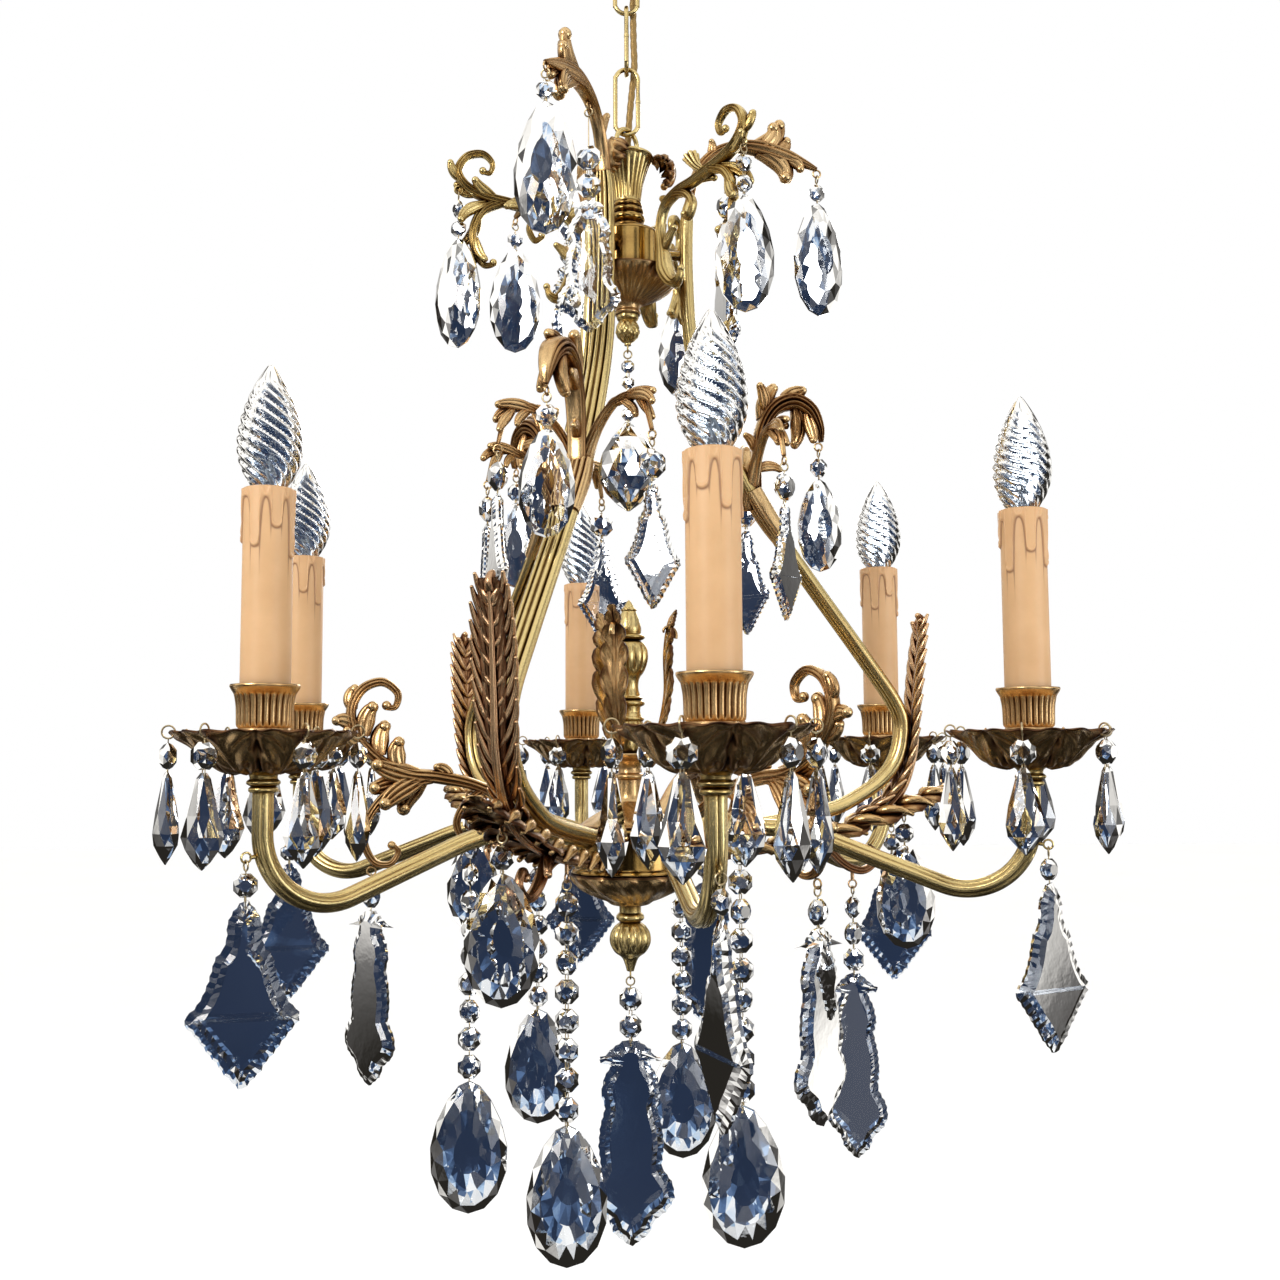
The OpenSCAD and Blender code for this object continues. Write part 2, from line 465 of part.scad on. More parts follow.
// How far each drop has turned on its hook, in the order of the branches.
trident_drop_turns = [10, -75, -39];
scroll_drop_turns = [-35, 0, 50];
spray_drop_turns = [16, -80, -39];
module crown_drops() color(crystal) for (k = [0:2]) {
    around(stay_phase + 120 * k) {
        translate([130, 0, z(377)]) from_eye() hanging(1, 12, turn = trident_drop_turns[k])
            gem(78, 35, 18, almond_shape);
        translate([66, 0, z(383.6)]) from_eye() hanging(2, 16, 18)
            plate(83, 40, 8, long_shape);
    }
    around(scroll_phase + 120 * k) translate([110, 0, z(349.5)]) from_eye()
        hanging(2, 11, turn = scroll_drop_turns[k]) gem(72, 33, 17, almond_shape);
}
module spray_drops() color(crystal) for (k = [0:2]) around(stay_phase + 120 * k) {
    translate([128, 0, z(189)]) from_eye() hanging(1, 13, turn = spray_drop_turns[k])
        gem(62, 30, 15, almond_shape);
    for (side = [-1, 1]) translate([80, 0, 0]) rotate([0, 0, 78 * side])
        translate([50, 0, z(168)]) from_eye() hanging(1, 18) plate(74, 36, 7, plate_shape);
}

// ---- crystals that swing, each on its own eye ----
arm_pendant_r = 253.6;
arm_eye_h = -66;
scroll_pendant_r = 160;
scroll_eye_h = -84.2;
leaf_pendant_r = 182;
leaf_eye_h = -52;
module swinging(a, r, eye_h) color(crystal) at(a, r, eye_h) from_eye() children();

module centre_ball() swinging(0, 0, 250) hanging(4, 9) gem(58, 39, 39, ball_shape, 10);
module bottom_pendant() swinging(0, 0, -151.2)
    hanging(2, 15) plate(124, 54, 8, long_shape);
// The directions the plates have come to rest facing.
arm_pendant_faces = [-68, 30, -11, 2, 14, 15];
scroll_pendant_faces = [48, -4, -42];
module arm_pendant(k) {
    a = arm_phase + 60 * (k - 1);
    swinging(a, arm_pendant_r, arm_eye_h) hanging(1, 13, turn = arm_pendant_faces[k - 1] - a)
        plate(94, 57, 8, plate_shape);
}
module scroll_pendant(k) {
    a = scroll_phase + 120 * (k - 1);
    swinging(a, scroll_pendant_r, scroll_eye_h)
        hanging(1, 15, turn = scroll_pendant_faces[k - 1] - a) plate(104, 48, 8, long_shape);
}
// The almond drops have turned square to the front.
module leaf_pendant(k) {
    a = stay_phase + 120 * (k - 1);
    swinging(a, leaf_pendant_r, leaf_eye_h) hanging(1, 13, turn = -a)
        gem(67, 36, 18, almond_shape);
}
// Strands 1 to 3 hang from the lower scrolls, 4 and 5 from two of the acanthus leaves,
// and 6, on the curl of the third leaf, carries a long plate.
module strand(k) {
    a = (k <= 3) ? scroll_phase + 120 * (k - 1) : stay_phase + [0, 240, 120][k - 4];
    if (k <= 3) swinging(a, 100, -39)
        hanging(10, strand_bead_d, turn = -a) gem(78, 44, 20, almond_shape);
    if (k == 4) swinging(a, 100, -83)
        hanging(8, strand_bead_d - 0.6, turn = -a) gem(76, 42, 20, almond_shape);
    if (k == 5) swinging(a, 100, -83)
        hanging(6, strand_bead_d - 0.6, turn = -a) gem(76, 42, 20, almond_shape);
    if (k == 6) swinging(a, 146, -98)
        hanging(3, strand_bead_d, turn = -15 - a) plate(116, 40, 8, long_shape);
}

ceiling_hook();
canopy();
canopy_screws();
for (k = [1:3]) chain_link(k);
hanging_loop();
power_cord();
top_cup();
top_hub();
top_dome();
top_finial();
crown_tridents();
crown_scrolls();
stays();
leaf_sprays();
acanthus_leaves();
lower_scrolls();
lower_hub();
lower_dish();
bottom_finial();
centre_stem();
column_leaves();
centre_urn();
centre_rod();
for (k = [1:6]) arm(k);
arm_wires();
bobeches();
candle_cups();
candle_sleeves();
lamp_holders();
bulbs();
bobeche_drops();
crown_drops();
spray_drops();
centre_ball();
bottom_pendant();
for (k = [1:6]) arm_pendant(k);
for (k = [1:3]) scroll_pendant(k);
for (k = [1:3]) leaf_pendant(k);
for (k = [1:6]) strand(k);
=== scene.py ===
"""The looks of a six-light cage chandelier: carved brass, waxy candle sleeves and cut crystal.

Shapes are drawn in millimetres on their own plane: x runs outward from the centre line, y sideways
and h (or z) up from the drip pans' rims. placed() then turns them to their direction round the
chandelier and into metres. Routes are lists of [out, up, half width, half thickness]."""

import json
import math

import bpy
import numpy as np
from mathutils import Matrix, Vector


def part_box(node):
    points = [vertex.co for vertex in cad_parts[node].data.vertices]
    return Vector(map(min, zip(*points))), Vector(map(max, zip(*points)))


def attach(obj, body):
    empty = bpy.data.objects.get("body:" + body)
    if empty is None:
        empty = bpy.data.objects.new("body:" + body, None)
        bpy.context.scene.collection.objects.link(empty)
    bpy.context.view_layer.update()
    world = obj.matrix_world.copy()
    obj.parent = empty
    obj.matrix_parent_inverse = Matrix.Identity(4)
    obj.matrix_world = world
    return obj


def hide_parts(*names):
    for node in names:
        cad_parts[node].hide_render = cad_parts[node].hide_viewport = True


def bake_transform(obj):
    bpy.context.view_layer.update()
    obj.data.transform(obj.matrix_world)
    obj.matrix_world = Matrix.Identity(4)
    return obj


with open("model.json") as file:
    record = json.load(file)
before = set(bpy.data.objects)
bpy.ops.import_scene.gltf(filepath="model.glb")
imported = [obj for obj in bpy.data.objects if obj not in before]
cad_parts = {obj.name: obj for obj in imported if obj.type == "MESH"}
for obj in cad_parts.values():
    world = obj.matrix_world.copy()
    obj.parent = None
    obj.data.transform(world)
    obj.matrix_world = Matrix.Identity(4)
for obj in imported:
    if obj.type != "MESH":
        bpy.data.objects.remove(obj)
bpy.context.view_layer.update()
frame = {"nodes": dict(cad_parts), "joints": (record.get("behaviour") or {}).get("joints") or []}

# ---- places, from the frame ----
MM = 0.001
PAN_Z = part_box("bobeches")[1].z
SWINGS = {j["child"]: j for j in frame["joints"]}
first_arm = SWINGS["arm_pendant_1"]["pos_m"]
ARM_PHASE = math.degrees(math.atan2(first_arm[0], -first_arm[1]))
STAY_PHASE = ARM_PHASE - 30
SCROLL_PHASE = ARM_PHASE + 30
ARM_REACH = 245.0
PAN_R = 48.0
ARM_DIRECTIONS = [ARM_PHASE + 60 * k for k in range(6)]
STAY_DIRECTIONS = [STAY_PHASE + 120 * k for k in range(3)]
SCROLL_DIRECTIONS = [SCROLL_PHASE + 120 * k for k in range(3)]
EYE_R = 2.6
EYE_WIRE = 1.2
HOOK_WIRE = 1.0
HOOK_BELOW_EYE = EYE_R - (EYE_WIRE + HOOK_WIRE) / 2 - 0.1


# ---- meshes ----
class Shape:
    """Points and faces gathered in millimetres."""

    def __init__(self):
        self.points = []
        self.quads = []
        self.polygons = []
        self.count = 0

    def add(self, points, quads=(), polygons=()):
        points = np.asarray(points, float).reshape(-1, 3)
        if len(quads):
            self.quads.append(np.asarray(quads, int) + self.count)
        self.polygons += [[i + self.count for i in p] for p in polygons]
        self.points.append(points)
        self.count += len(points)
        return self

    def join(self, other, move=None):
        """Adds another shape's points, carried by move if it is given."""
        points = other.all_points()
        if move is not None:
            points = move(points)
        self.add(points, other.all_quads(), other.polygons)
        return self

    def moved(self, move):
        return Shape().join(self, move)

    def all_points(self):
        return np.concatenate(self.points) if self.points else np.zeros((0, 3))

    def all_quads(self):
        return np.concatenate(self.quads) if self.quads else np.zeros((0, 4), int)


def placed(direction=0.0, out=0.0, up=0.0):
    """A move from a drawing's millimetres to metres in the frame."""
    a = math.radians(direction)

    def move(p):
        x = p[:, 0] + out
        return np.stack([(x * math.sin(a) + p[:, 1] * math.cos(a)) * MM,
                         (-x * math.cos(a) + p[:, 1] * math.sin(a)) * MM,
                         PAN_Z + (p[:, 2] + up) * MM], axis=1)
    return move


def turned(angle, at=(0, 0, 0)):
    """A move that turns a drawing about the upright line through its own origin, then shifts it."""
    a = math.radians(angle)
    c, s = math.cos(a), math.sin(a)
    return lambda p: np.stack([p[:, 0] * c - p[:, 1] * s, p[:, 0] * s + p[:, 1] * c,
                               p[:, 2]], 1) + at


def piece(name, shape, material, body, nodes=(), sharp=40.0):
    """Makes one object, in metres already, that rides on a body and stands for CAD nodes.
    sharp is the angle past which an edge stays crisp; 0 leaves every face flat."""
    points = shape.all_points()
    quads = shape.all_quads()
    mesh = bpy.data.meshes.new(name)
    loops = quads.reshape(-1).tolist() + [i for p in shape.polygons for i in p]
    totals = [4] * len(quads) + [len(p) for p in shape.polygons]
    starts = np.concatenate([[0], np.cumsum(totals)[:-1]]).astype(int)
    mesh.vertices.add(len(points))
    mesh.vertices.foreach_set("co", points.reshape(-1))
    mesh.loops.add(len(loops))
    mesh.loops.foreach_set("vertex_index", loops)
    mesh.polygons.add(len(totals))
    mesh.polygons.foreach_set("loop_start", starts)
    mesh.polygons.foreach_set("loop_total", totals)
    mesh.update(calc_edges=True)
    mesh.validate()
    if sharp:
        mesh.shade_smooth()
        mesh.set_sharp_from_angle(angle=math.radians(sharp))
    else:
        mesh.shade_flat()
    mesh.materials.append(material)
    obj = bpy.data.objects.new(name, mesh)
    bpy.context.scene.collection.objects.link(obj)
    if body:
        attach(obj, body)
    if nodes:
        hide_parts(*nodes)
    return obj


def around(n):
    """n angles, evenly round a circle."""
    return np.linspace(0, 2 * np.pi, n, endpoint=False)


def ring(a, r, h):
    """Points at angles a round the upright axis."""
    return np.stack([r * np.cos(a), r * np.sin(a), h + 0 * a], 1)


def lengths(p):
    """How far along a curve each of its points lies."""
    return np.concatenate([[0], np.cumsum(np.linalg.norm(np.diff(p, axis=0), axis=1))])


def between(h, low, high, fade=2.0, fade_out=None):
    """1 between two heights, falling to 0 at them over the fades."""
    return min(max((h - low) / fade, 0), 1) * min(max((high - h) / (fade_out or fade), 0), 1)


def grid(rows, close_rows=False, close_columns=True, cap_start=False, cap_end=False):
    """Quads over an array of rows of points, and polygons over its ends."""
    rows = np.asarray(rows, float)
    n, m = rows.shape[:2]
    i = np.arange(n if close_rows else n - 1)[:, None]
    k = np.arange(m if close_columns else m - 1)[None, :]
    a = i * m + k
    b = i * m + (k + 1) % m
    c = ((i + 1) % n) * m + (k + 1) % m
    d = ((i + 1) % n) * m + k
    quads = np.stack([a, b, c, d], -1).reshape(-1, 4)
    caps = []
    if cap_start:
        caps.append(list(range(m))[::-1])
    if cap_end:
        caps.append([(n - 1) * m + j for j in range(m)])
    return rows.reshape(-1, 3), quads, caps


def spline(route, steps):
    """Points of a Catmull-Rom curve through the route's points, as the CAD draws it."""
    p = np.asarray(route, float)
    e = len(p) - 1
    out = []
    for i in range(e):
        a, b, c, d = p[max(i - 1, 0)], p[i], p[i + 1], p[min(i + 2, e)]
        for t in np.arange(steps) / steps:
            out.append(0.5 * (2 * b + (c - a) * t + (2 * a - 5 * b + 4 * c - d) * t * t
                              + (3 * b - a - 3 * c + d) * t * t * t))
    return np.array(out + [p[e]])


def headings(p):
    """Unit headings of a flat curve whose first two columns are out and up."""
    d = np.gradient(p[:, :2], axis=0)
    return d / np.maximum(np.linalg.norm(d, axis=1), 1e-9)[:, None]


def sweep(route, section, steps=8):
    """A bar along a flat route of [out, up, half width, half thickness], with a closed section of
    unit (y, v) points, or a function from the share along the route to such points."""
    p = spline(route, steps)
    t = headings(p)
    rows = []
    for i, share in enumerate(np.linspace(0, 1, len(p))):
        s = section(share) if callable(section) else section
        v = s[:, 1] * p[i, 3]
        rows.append(np.stack([p[i, 0] - t[i, 1] * v, s[:, 0] * p[i, 2], p[i, 1] + t[i, 0] * v], 1))
    return Shape().add(*grid(rows, cap_start=True, cap_end=True))


def reeded(reeds=5, n=80, depth=0.2):
    """A flat bar's section with rounded reeds along both faces."""
    a = around(n)
    y = np.cos(a)
    face = np.abs(np.sin(a)) ** 0.55
    wave = np.abs(np.cos(np.pi * reeds / 2 * y + (0 if reeds % 2 else np.pi / 2)))
    return np.stack([y, np.sign(np.sin(a)) * face * (1 - depth + depth * wave ** 0.7)], 1)


def ribbed(ribs=3, n=48, depth=0.34):
    """The section of a scroll that lies in its own plane, with ribs along both of its faces."""
    return reeded(ribs, n, depth)[:, ::-1]


def rounded_bar(n=24):
    """A flat bar's section with eased corners."""
    a = around(n)
    c, s = np.cos(a), np.sin(a)
    return np.stack([np.sign(c) * np.abs(c) ** 0.3, np.sign(s) * np.abs(s) ** 0.3], 1)


def channelled(ridges=3, n=48, depth=0.16):
    """A rounded section with ridges that run along it."""
    a = around(n)
    r = 1 - depth * (1 - np.abs(np.cos(ridges * a)) ** 0.8)
    return np.stack([r * np.cos(a), r * np.sin(a)], 1)


def merged(*shapes):
    out = Shape()
    for s in shapes:
        out.join(s)
    return out


def rings_along(p, radii, normal=None, closed=False):
    """Rings round a curve in space that turn only as the curve does. radii has one row of
    radii for each of the curve's points."""
    d = np.roll(p, -1, 0) - np.roll(p, 1, 0) if closed else np.gradient(p, axis=0)
    t = d / np.linalg.norm(d, axis=1)[:, None]
    if normal is None:
        normal = np.cross(t[0], [0.31, 0.77, 0.56])    # any line across the curve's start
    a = around(radii.shape[1])
    rows = []
    for point, ahead, radius in zip(p, t, radii):
        normal = normal - ahead * normal.dot(ahead)
        normal /= np.linalg.norm(normal)
        side = np.cross(ahead, normal)
        rows.append(point + radius[:, None] * (np.cos(a)[:, None] * normal
                                               + np.sin(a)[:, None] * side))
    return np.array(rows)


def tube(points, radius, n=10, closed=False):
    """A round bar along a curve in space. radius is one value or one for each point."""
    p = np.asarray(points, float)
    radii = np.repeat(np.broadcast_to(radius, len(p))[:, None], n, 1)
    return Shape().add(*grid(rings_along(p, radii, closed=closed), close_rows=closed,
                             cap_start=not closed, cap_end=not closed))


def ball(centre, radius, n=18):
    """A small turned bead or bud end."""
    rows = []
    for e in np.linspace(-np.pi / 2 + 0.12, np.pi / 2 - 0.12, n // 2):
        a = around(n)
        rows.append(np.stack([np.cos(a) * np.cos(e), np.sin(a) * np.cos(e),
                              np.full(n, np.sin(e))], 1) * radius + centre)
    return Shape().add(*grid(rows, cap_start=True, cap_end=True))


def lathe(stretches, n=96, relief=None):
    """A closed turned piece. Each stretch is a list of [radius, height] that is drawn as one
    smooth curve from the crisp corner where the stretch before it ended. relief(angle, radius,
    height) is added to the radius. A profile that starts and ends on the axis is closed there."""
    profile, corner = [], []
    for s in stretches:
        p = corner + s
        p = spline(p, 6) if len(p) > 2 else np.array(p, float)
        profile += list(p[len(corner):])
        corner = s[-1:]
    profile = np.array(profile)
    if np.linalg.norm(profile[0] - profile[-1]) < 1e-6:
        profile = profile[:-1]
    on_axis = profile[0, 0] < 1e-6 and profile[-1, 0] < 1e-6
    a = around(n)
    rows = []
    for r, h in profile:
        r = max(r, 0.02)
        rr = r + (relief(a, r, h) if relief else 0) + 0 * a
        rows.append(ring(a, rr, h))
    shape = Shape()
    shape.add(*grid(rows, close_rows=not on_axis, cap_start=on_axis, cap_end=on_axis))
    return flipped(shape)


def flipped(shape):
    """The same shape with its faces turned over."""
    shape.quads = [q[:, ::-1] for q in shape.quads]
    shape.polygons = [p[::-1] for p in shape.polygons]
    return shape


def flutes(count, depth, low, high, fade=1.5):
    """Relief of upright flutes between two heights."""
    def relief(a, r, h):
        return -depth * between(h, low, high, fade) * (1 - np.abs(np.cos(count * a / 2)) ** 0.7)
    return relief


def spiral(x, h, r0, r1, from_angle, turn, w0, w1=0.7, n=14, wide=1.3):
    """Route points of a spiral that winds in from radius r0 to r1 about (x, h)."""
    out = []
    for s in np.linspace(0, 1, n):
        a = math.radians(from_angle + turn * s)
        r = r0 + (r1 - r0) * s
        w = w0 + (w1 - w0) * s
        out.append([x + r * math.cos(a), h + r * math.sin(a), w * wide, w])
    return out


def leaf(route, count, slant=0.12, depth=0.34, cup=0.12, thick=1.5, rib=0.9, vein=0.5, curl=0.16,
         across=10, per_lobe=10):
    """A carved leaf along a flat route of [out, up, half width]. Its rows lean
    forward like veins, its edge is scalloped into count lobes, and it is solid."""
    along = count * per_lobe
    p = spline(route, 12)
    share = np.linspace(0, 1, len(p))
    t = headings(p)
    s = np.linspace(0, 1, along + 1)
    side = np.linspace(-1, 1, 2 * across + 1)
    q, w = np.meshgrid(s, side, indexing="ij")
    at = np.clip(q + slant * np.abs(w) ** 1.3 * (1 - q) ** 0.3, 0, 1)
    width = np.interp(q, share, p[:, 2])
    beat = np.abs(np.sin(np.pi * (q * count))) ** 0.62
    edge = 1 - depth * (1 - beat) * np.clip(3 * np.abs(w) - 0.6, 0, 1)
    x, h = np.interp(at, share, p[:, 0]), np.interp(at, share, p[:, 1])
    tx, th = np.interp(at, share, t[:, 0]), np.interp(at, share, t[:, 1])
    rise = (rib * np.exp(-(w / 0.13) ** 2) + vein * (beat - 0.5) * np.abs(w) ** 0.5
            + 0.28 * vein * np.cos(2 * np.pi * 3 * q * count) * np.abs(w)
            - cup * width * w ** 2 - curl * width * beat * np.abs(w) ** 5)
    end = np.clip(q * 8, 0, 1) * np.clip((1 - q) * 8, 0.12, 1)

    def layer(lift):
        v = (rise + lift) * end
        return np.stack([x - th * v, width * w * edge, h + tx * v], -1)
    front, back = layer(thick / 2), layer(-thick / 2)[:, ::-1]
    rows = np.concatenate([front, back], axis=1)
    return Shape().add(*grid(rows, cap_start=True, cap_end=True))


def lobe(x, h, heading, length, width, curl=0.0, thick=3.0, lean=0.0, ribs=3):
    """A ribbed lobe in a casting's plane that ends in a rolled tip. heading and curl are in
    degrees, and lean carries it sideways as it grows."""
    route, x0, h0 = [], x, h
    for s in np.linspace(0, 1, 9):
        a = math.radians(heading + curl * s ** 1.6)
        swell = 0.5 + 0.5 * math.sin(math.pi / 2 * min(1, s / 0.6))
        w = width * 1.3 * swell * (1 - 0.42 * s ** 3)
        route.append([x, h, thick * (1 - 0.3 * s), w])
        x += length / 8 * math.cos(a)
        h += length / 8 * math.sin(a)
    end = route[-1]
    whole = merged(sweep(route, ribbed(ribs), 3), ball((end[0], 0, end[1]), width * 0.78, 14))

    def sideways(p):
        away = np.hypot(p[:, 0] - x0, p[:, 2] - h0)
        return p + np.stack([0 * away, lean * away, 0 * away], 1)
    return whole.moved(sideways)


def scroll(*routes):
    """Ribbed bars along flat routes, each rolled up in its own plane."""
    return [sweep(route, ribbed(3), 8) for route in routes]


def lobes(*rows):
    return [lobe(*row) for row in rows]


def fingers(route, count, thick, advance=1.5, start=0.04, end=0.93, cup=0.1, roll=0.16, blunt=0.1,
            flare=1.9, lag=1.6):
    """The fingers of an acanthus leaf: ribs that leave its midrib on both sides, sweep forward
    and roll over at their tips. The route is [out, up, half width]."""
    p = spline(route, 12)
    t = headings(p)
    run = lengths(p[:, :2])
    total = run[-1]
    parts = []
    for i in range(count):
        q = start + (end - start) * i / (count - 1)
        width = np.interp(q * total, run, p[:, 2])
        for side in (-1, 1):
            u = np.linspace(0, 1, 10)
            at = np.minimum((q * total) + advance * width * u ** lag, total + 3)
            x, h = np.interp(at, run, p[:, 0]), np.interp(at, run, p[:, 1])
            tx, th = np.interp(at, run, t[:, 0]), np.interp(at, run, t[:, 1])
            over = np.maximum(at - total, 0)
            v = 0.8 * thick * np.sin(np.pi * u * 0.8) - cup * width * u ** 2 - roll * width * u ** 5
            y = side * (width - thick) * (1 - (1 - u) ** flare)
            line = np.stack([x + tx * over - th * v, y, h + th * over + tx * v], 1)
            parts.append(tube(line, thick * (0.8 + 0.4 * np.sin(np.pi * u) - blunt * u ** 3), 10))
            parts.append(ball(line[-1], thick * (0.84 - blunt), 12))
    return merged(*parts)


# ---- cut crystal, drawn with x through the thickness, y across and z up ----
def cut(outline, steps, thick, girdle=0.1):
    """A flat cut stone. outline(j) gives ring j's (y, z) points as seen from the front, steps are
    (share of the outline, share of the half thickness), and every other ring is turned half a
    step, so that the facets between them are triangles."""
    rings = [outline(0) * [steps[0][0], steps[0][0]]]
    depths = [girdle]
    for j, (k, d) in enumerate(steps[1:], 1):
        rings.append(outline(j) * k)
        depths.append(d)
    n = len(rings[0])
    out = Shape()
    for sign in (1, -1):
        points = np.concatenate([np.column_stack([np.full(n, sign * d * thick / 2), r])
                                 for r, d in zip(rings, depths)])
        polygons = []
        for j in range(len(rings) - 1):
            for i in range(n):
                a, b = j * n + i, j * n + (i + 1) % n
                c, d = (j + 1) * n + i, (j + 1) * n + (i + 1) % n
                if j % 2:
                    polygons += [[a, b, d], [a, d, c]]
                else:
                    polygons += [[a, b, c], [b, d, c]]
        polygons.append([(len(rings) - 1) * n + i for i in range(n)])
        if sign < 0:
            polygons = [p[::-1] for p in polygons]
        out.add(points, (), polygons)
    half = len(rings) * n
    out.quads.append(np.array([[i, half + i, half + (i + 1) % n, (i + 1) % n] for i in range(n)]))
    return out


def turning_outline(n, curve):
    """Ring j of an outline whose points are curve(angle), turned half a step on odd rings."""
    return lambda j: curve((np.arange(n) + 0.5 * (j % 2)) / n * 2 * np.pi)


def almond(length, width, thick):
    """A pear-shaped drop with three rows of facets round a small table, hung from its top."""
    def curve(a):
        y = width / 2 * np.sin(a) * (1 - 0.2 * np.cos(a) - 0.06 * np.cos(2 * a))
        return np.stack([y, length / 2 * np.cos(a)], 1)
    s = cut(turning_outline(16, curve), [(1, 0), (0.86, 0.5), (0.62, 0.82), (0.34, 1)], thick, 0.09)
    return s.moved(lambda p: p + [0, 0, -length / 2])


def octagon(d):
    """An octagon bead, its table square to x, centred on its own origin."""
    def curve(a):
        a = a + np.pi / 8
        return np.stack([np.sin(a), np.cos(a)], 1) * d / 2
    return cut(turning_outline(8, curve), [(1, 0), (0.8, 0.55), (0.48, 1)], d * 0.58, 0.14)


PLATE = [
    [0, 0.06], [0.06, 0.22], [0.12, 0.31], [0.2, 0.31], [0.26, 0.37], [0.3, 0.5], [0.36, 0.55],
    [0.43, 0.61], [0.5, 0.7], [0.56, 0.82], [0.6, 0.97], [0.65, 1], [0.69, 0.87], [0.76, 0.69],
    [0.82, 0.55], [0.87, 0.4], [0.91, 0.34], [0.95, 0.2], [1, 0.05]]
LONG_PLATE = [
    [0, 0.16], [0.05, 0.5], [0.11, 0.42], [0.18, 0.62], [0.26, 0.7], [0.33, 0.6], [0.42, 0.72],
    [0.52, 0.76], [0.62, 0.7], [0.7, 0.96], [0.77, 1], [0.83, 0.84], [0.88, 0.52], [0.94, 0.42],
    [1, 0.04]]


def plate(length, width, thick, outline, notches=46):
    """A plaquette: a flat table inside a wide bevel whose rim is cut into small notches."""
    half = np.array([[w * width / 2, (0.5 - s) * length] for s, w in outline])
    whole = np.concatenate([half, half[::-1] * [-1, 1]])
    whole = np.concatenate([whole, whole[:1]])
    run = lengths(whole)
    n = notches * 2
    s = np.arange(n) / n * run[-1]
    rim = np.stack([np.interp(s, run, whole[:, 0]), np.interp(s, run, whole[:, 1])], 1)
    d = np.roll(rim, -1, 0) - np.roll(rim, 1, 0)
    out = np.stack([d[:, 1], -d[:, 0]], 1)
    out /= np.linalg.norm(out, axis=1)[:, None]
    middle = rim.mean(0)
    out *= np.sign((out * (rim - middle)).sum(1))[:, None]
    bumped = rim + out * (np.where(np.arange(n) % 2, -0.6, 0.0))[:, None]
    inner = rim - out * (0.13 * width)
    inner[:, 0] = np.where(np.sign(inner[:, 0]) == np.sign(rim[:, 0]), inner[:, 0], rim[:, 0] * 0.2)
    middle_ring = (bumped * 0.45 + inner * 0.55)
    rings = [(bumped, 0.22), (middle_ring, 0.55), (inner, 1.0)]
    shape = Shape()
    for sign in (1, -1):
        points = np.concatenate([np.column_stack([np.full(n, sign * t * thick / 2), r])
                                 for r, t in rings])
        quads = [[j * n + i, j * n + (i + 1) % n, (j + 1) * n + (i + 1) % n, (j + 1) * n + i]
                 for j in range(2) for i in range(n)]
        table = [[2 * n + i for i in range(n)]]
        if sign < 0:
            quads = [q[::-1] for q in quads]
            table = [t[::-1] for t in table]
        shape.add(points, quads, table)
    shape.quads.append(np.array([[i, 3 * n + i, 3 * n + (i + 1) % n, (i + 1) % n]
                                 for i in range(n)]))
    return shape.moved(lambda p: p + [0, 0, -length / 2])


def stack_cut(levels, n, length, width, thick):
    """A long cut drop: flat-sided rings of (share down, share of the width), every other ring
    turned half a step."""
    rows = []
    for j, (s, w) in enumerate(levels):
        a = (np.arange(n) + 0.5 * (j % 2)) / n * 2 * np.pi
        rows.append(np.stack([np.sin(a) * w * thick / 2, np.cos(a) * w * width / 2,
                              np.full(n, -s * length)], 1))
    polygons = [list(range(n))]
    for j in range(len(levels) - 1):
        for i in range(n):
            a, b = j * n + i, j * n + (i + 1) % n
            c, d = (j + 1) * n + i, (j + 1) * n + (i + 1) % n
            polygons += [[a, d, b], [a, c, d]] if j % 2 else [[a, c, b], [b, c, d]]
    polygons.append([(len(levels) - 1) * n + i for i in range(n)][::-1])
    return Shape().add(np.concatenate(rows), (), polygons)


def icicle(length, width, thick):
    return stack_cut([(0.0, 0.16), (0.06, 0.34), (0.44, 0.78), (0.66, 1), (0.79, 0.84), (0.92, 0.4),
                      (1, 0.04)], 8, length, width, thick)


def cut_ball(length, width):
    return stack_cut([(0.0, 0.12), (0.06, 0.26), (0.2, 0.62), (0.36, 0.88), (0.52, 1), (0.66, 0.96),
                      (0.8, 0.74), (0.92, 0.4), (1, 0.06)], 12, length, width, width)


def wire_ring(centre, radius=EYE_R, wire=HOOK_WIRE, facing=0.0, n=24):
    """A ring of wire that stands upright; facing 0 puts its hole along y."""
    a = around(n)
    p = np.stack([radius * np.cos(a), 0 * a, radius * np.sin(a)], 1)
    return tube(p, wire / 2, 8, closed=True).moved(turned(facing, centre))


def eye_at(x, h, y=0.0):
    """A casting's eye, which a crystal's hook hangs from."""
    return wire_ring((x, y, h), wire=EYE_WIRE)


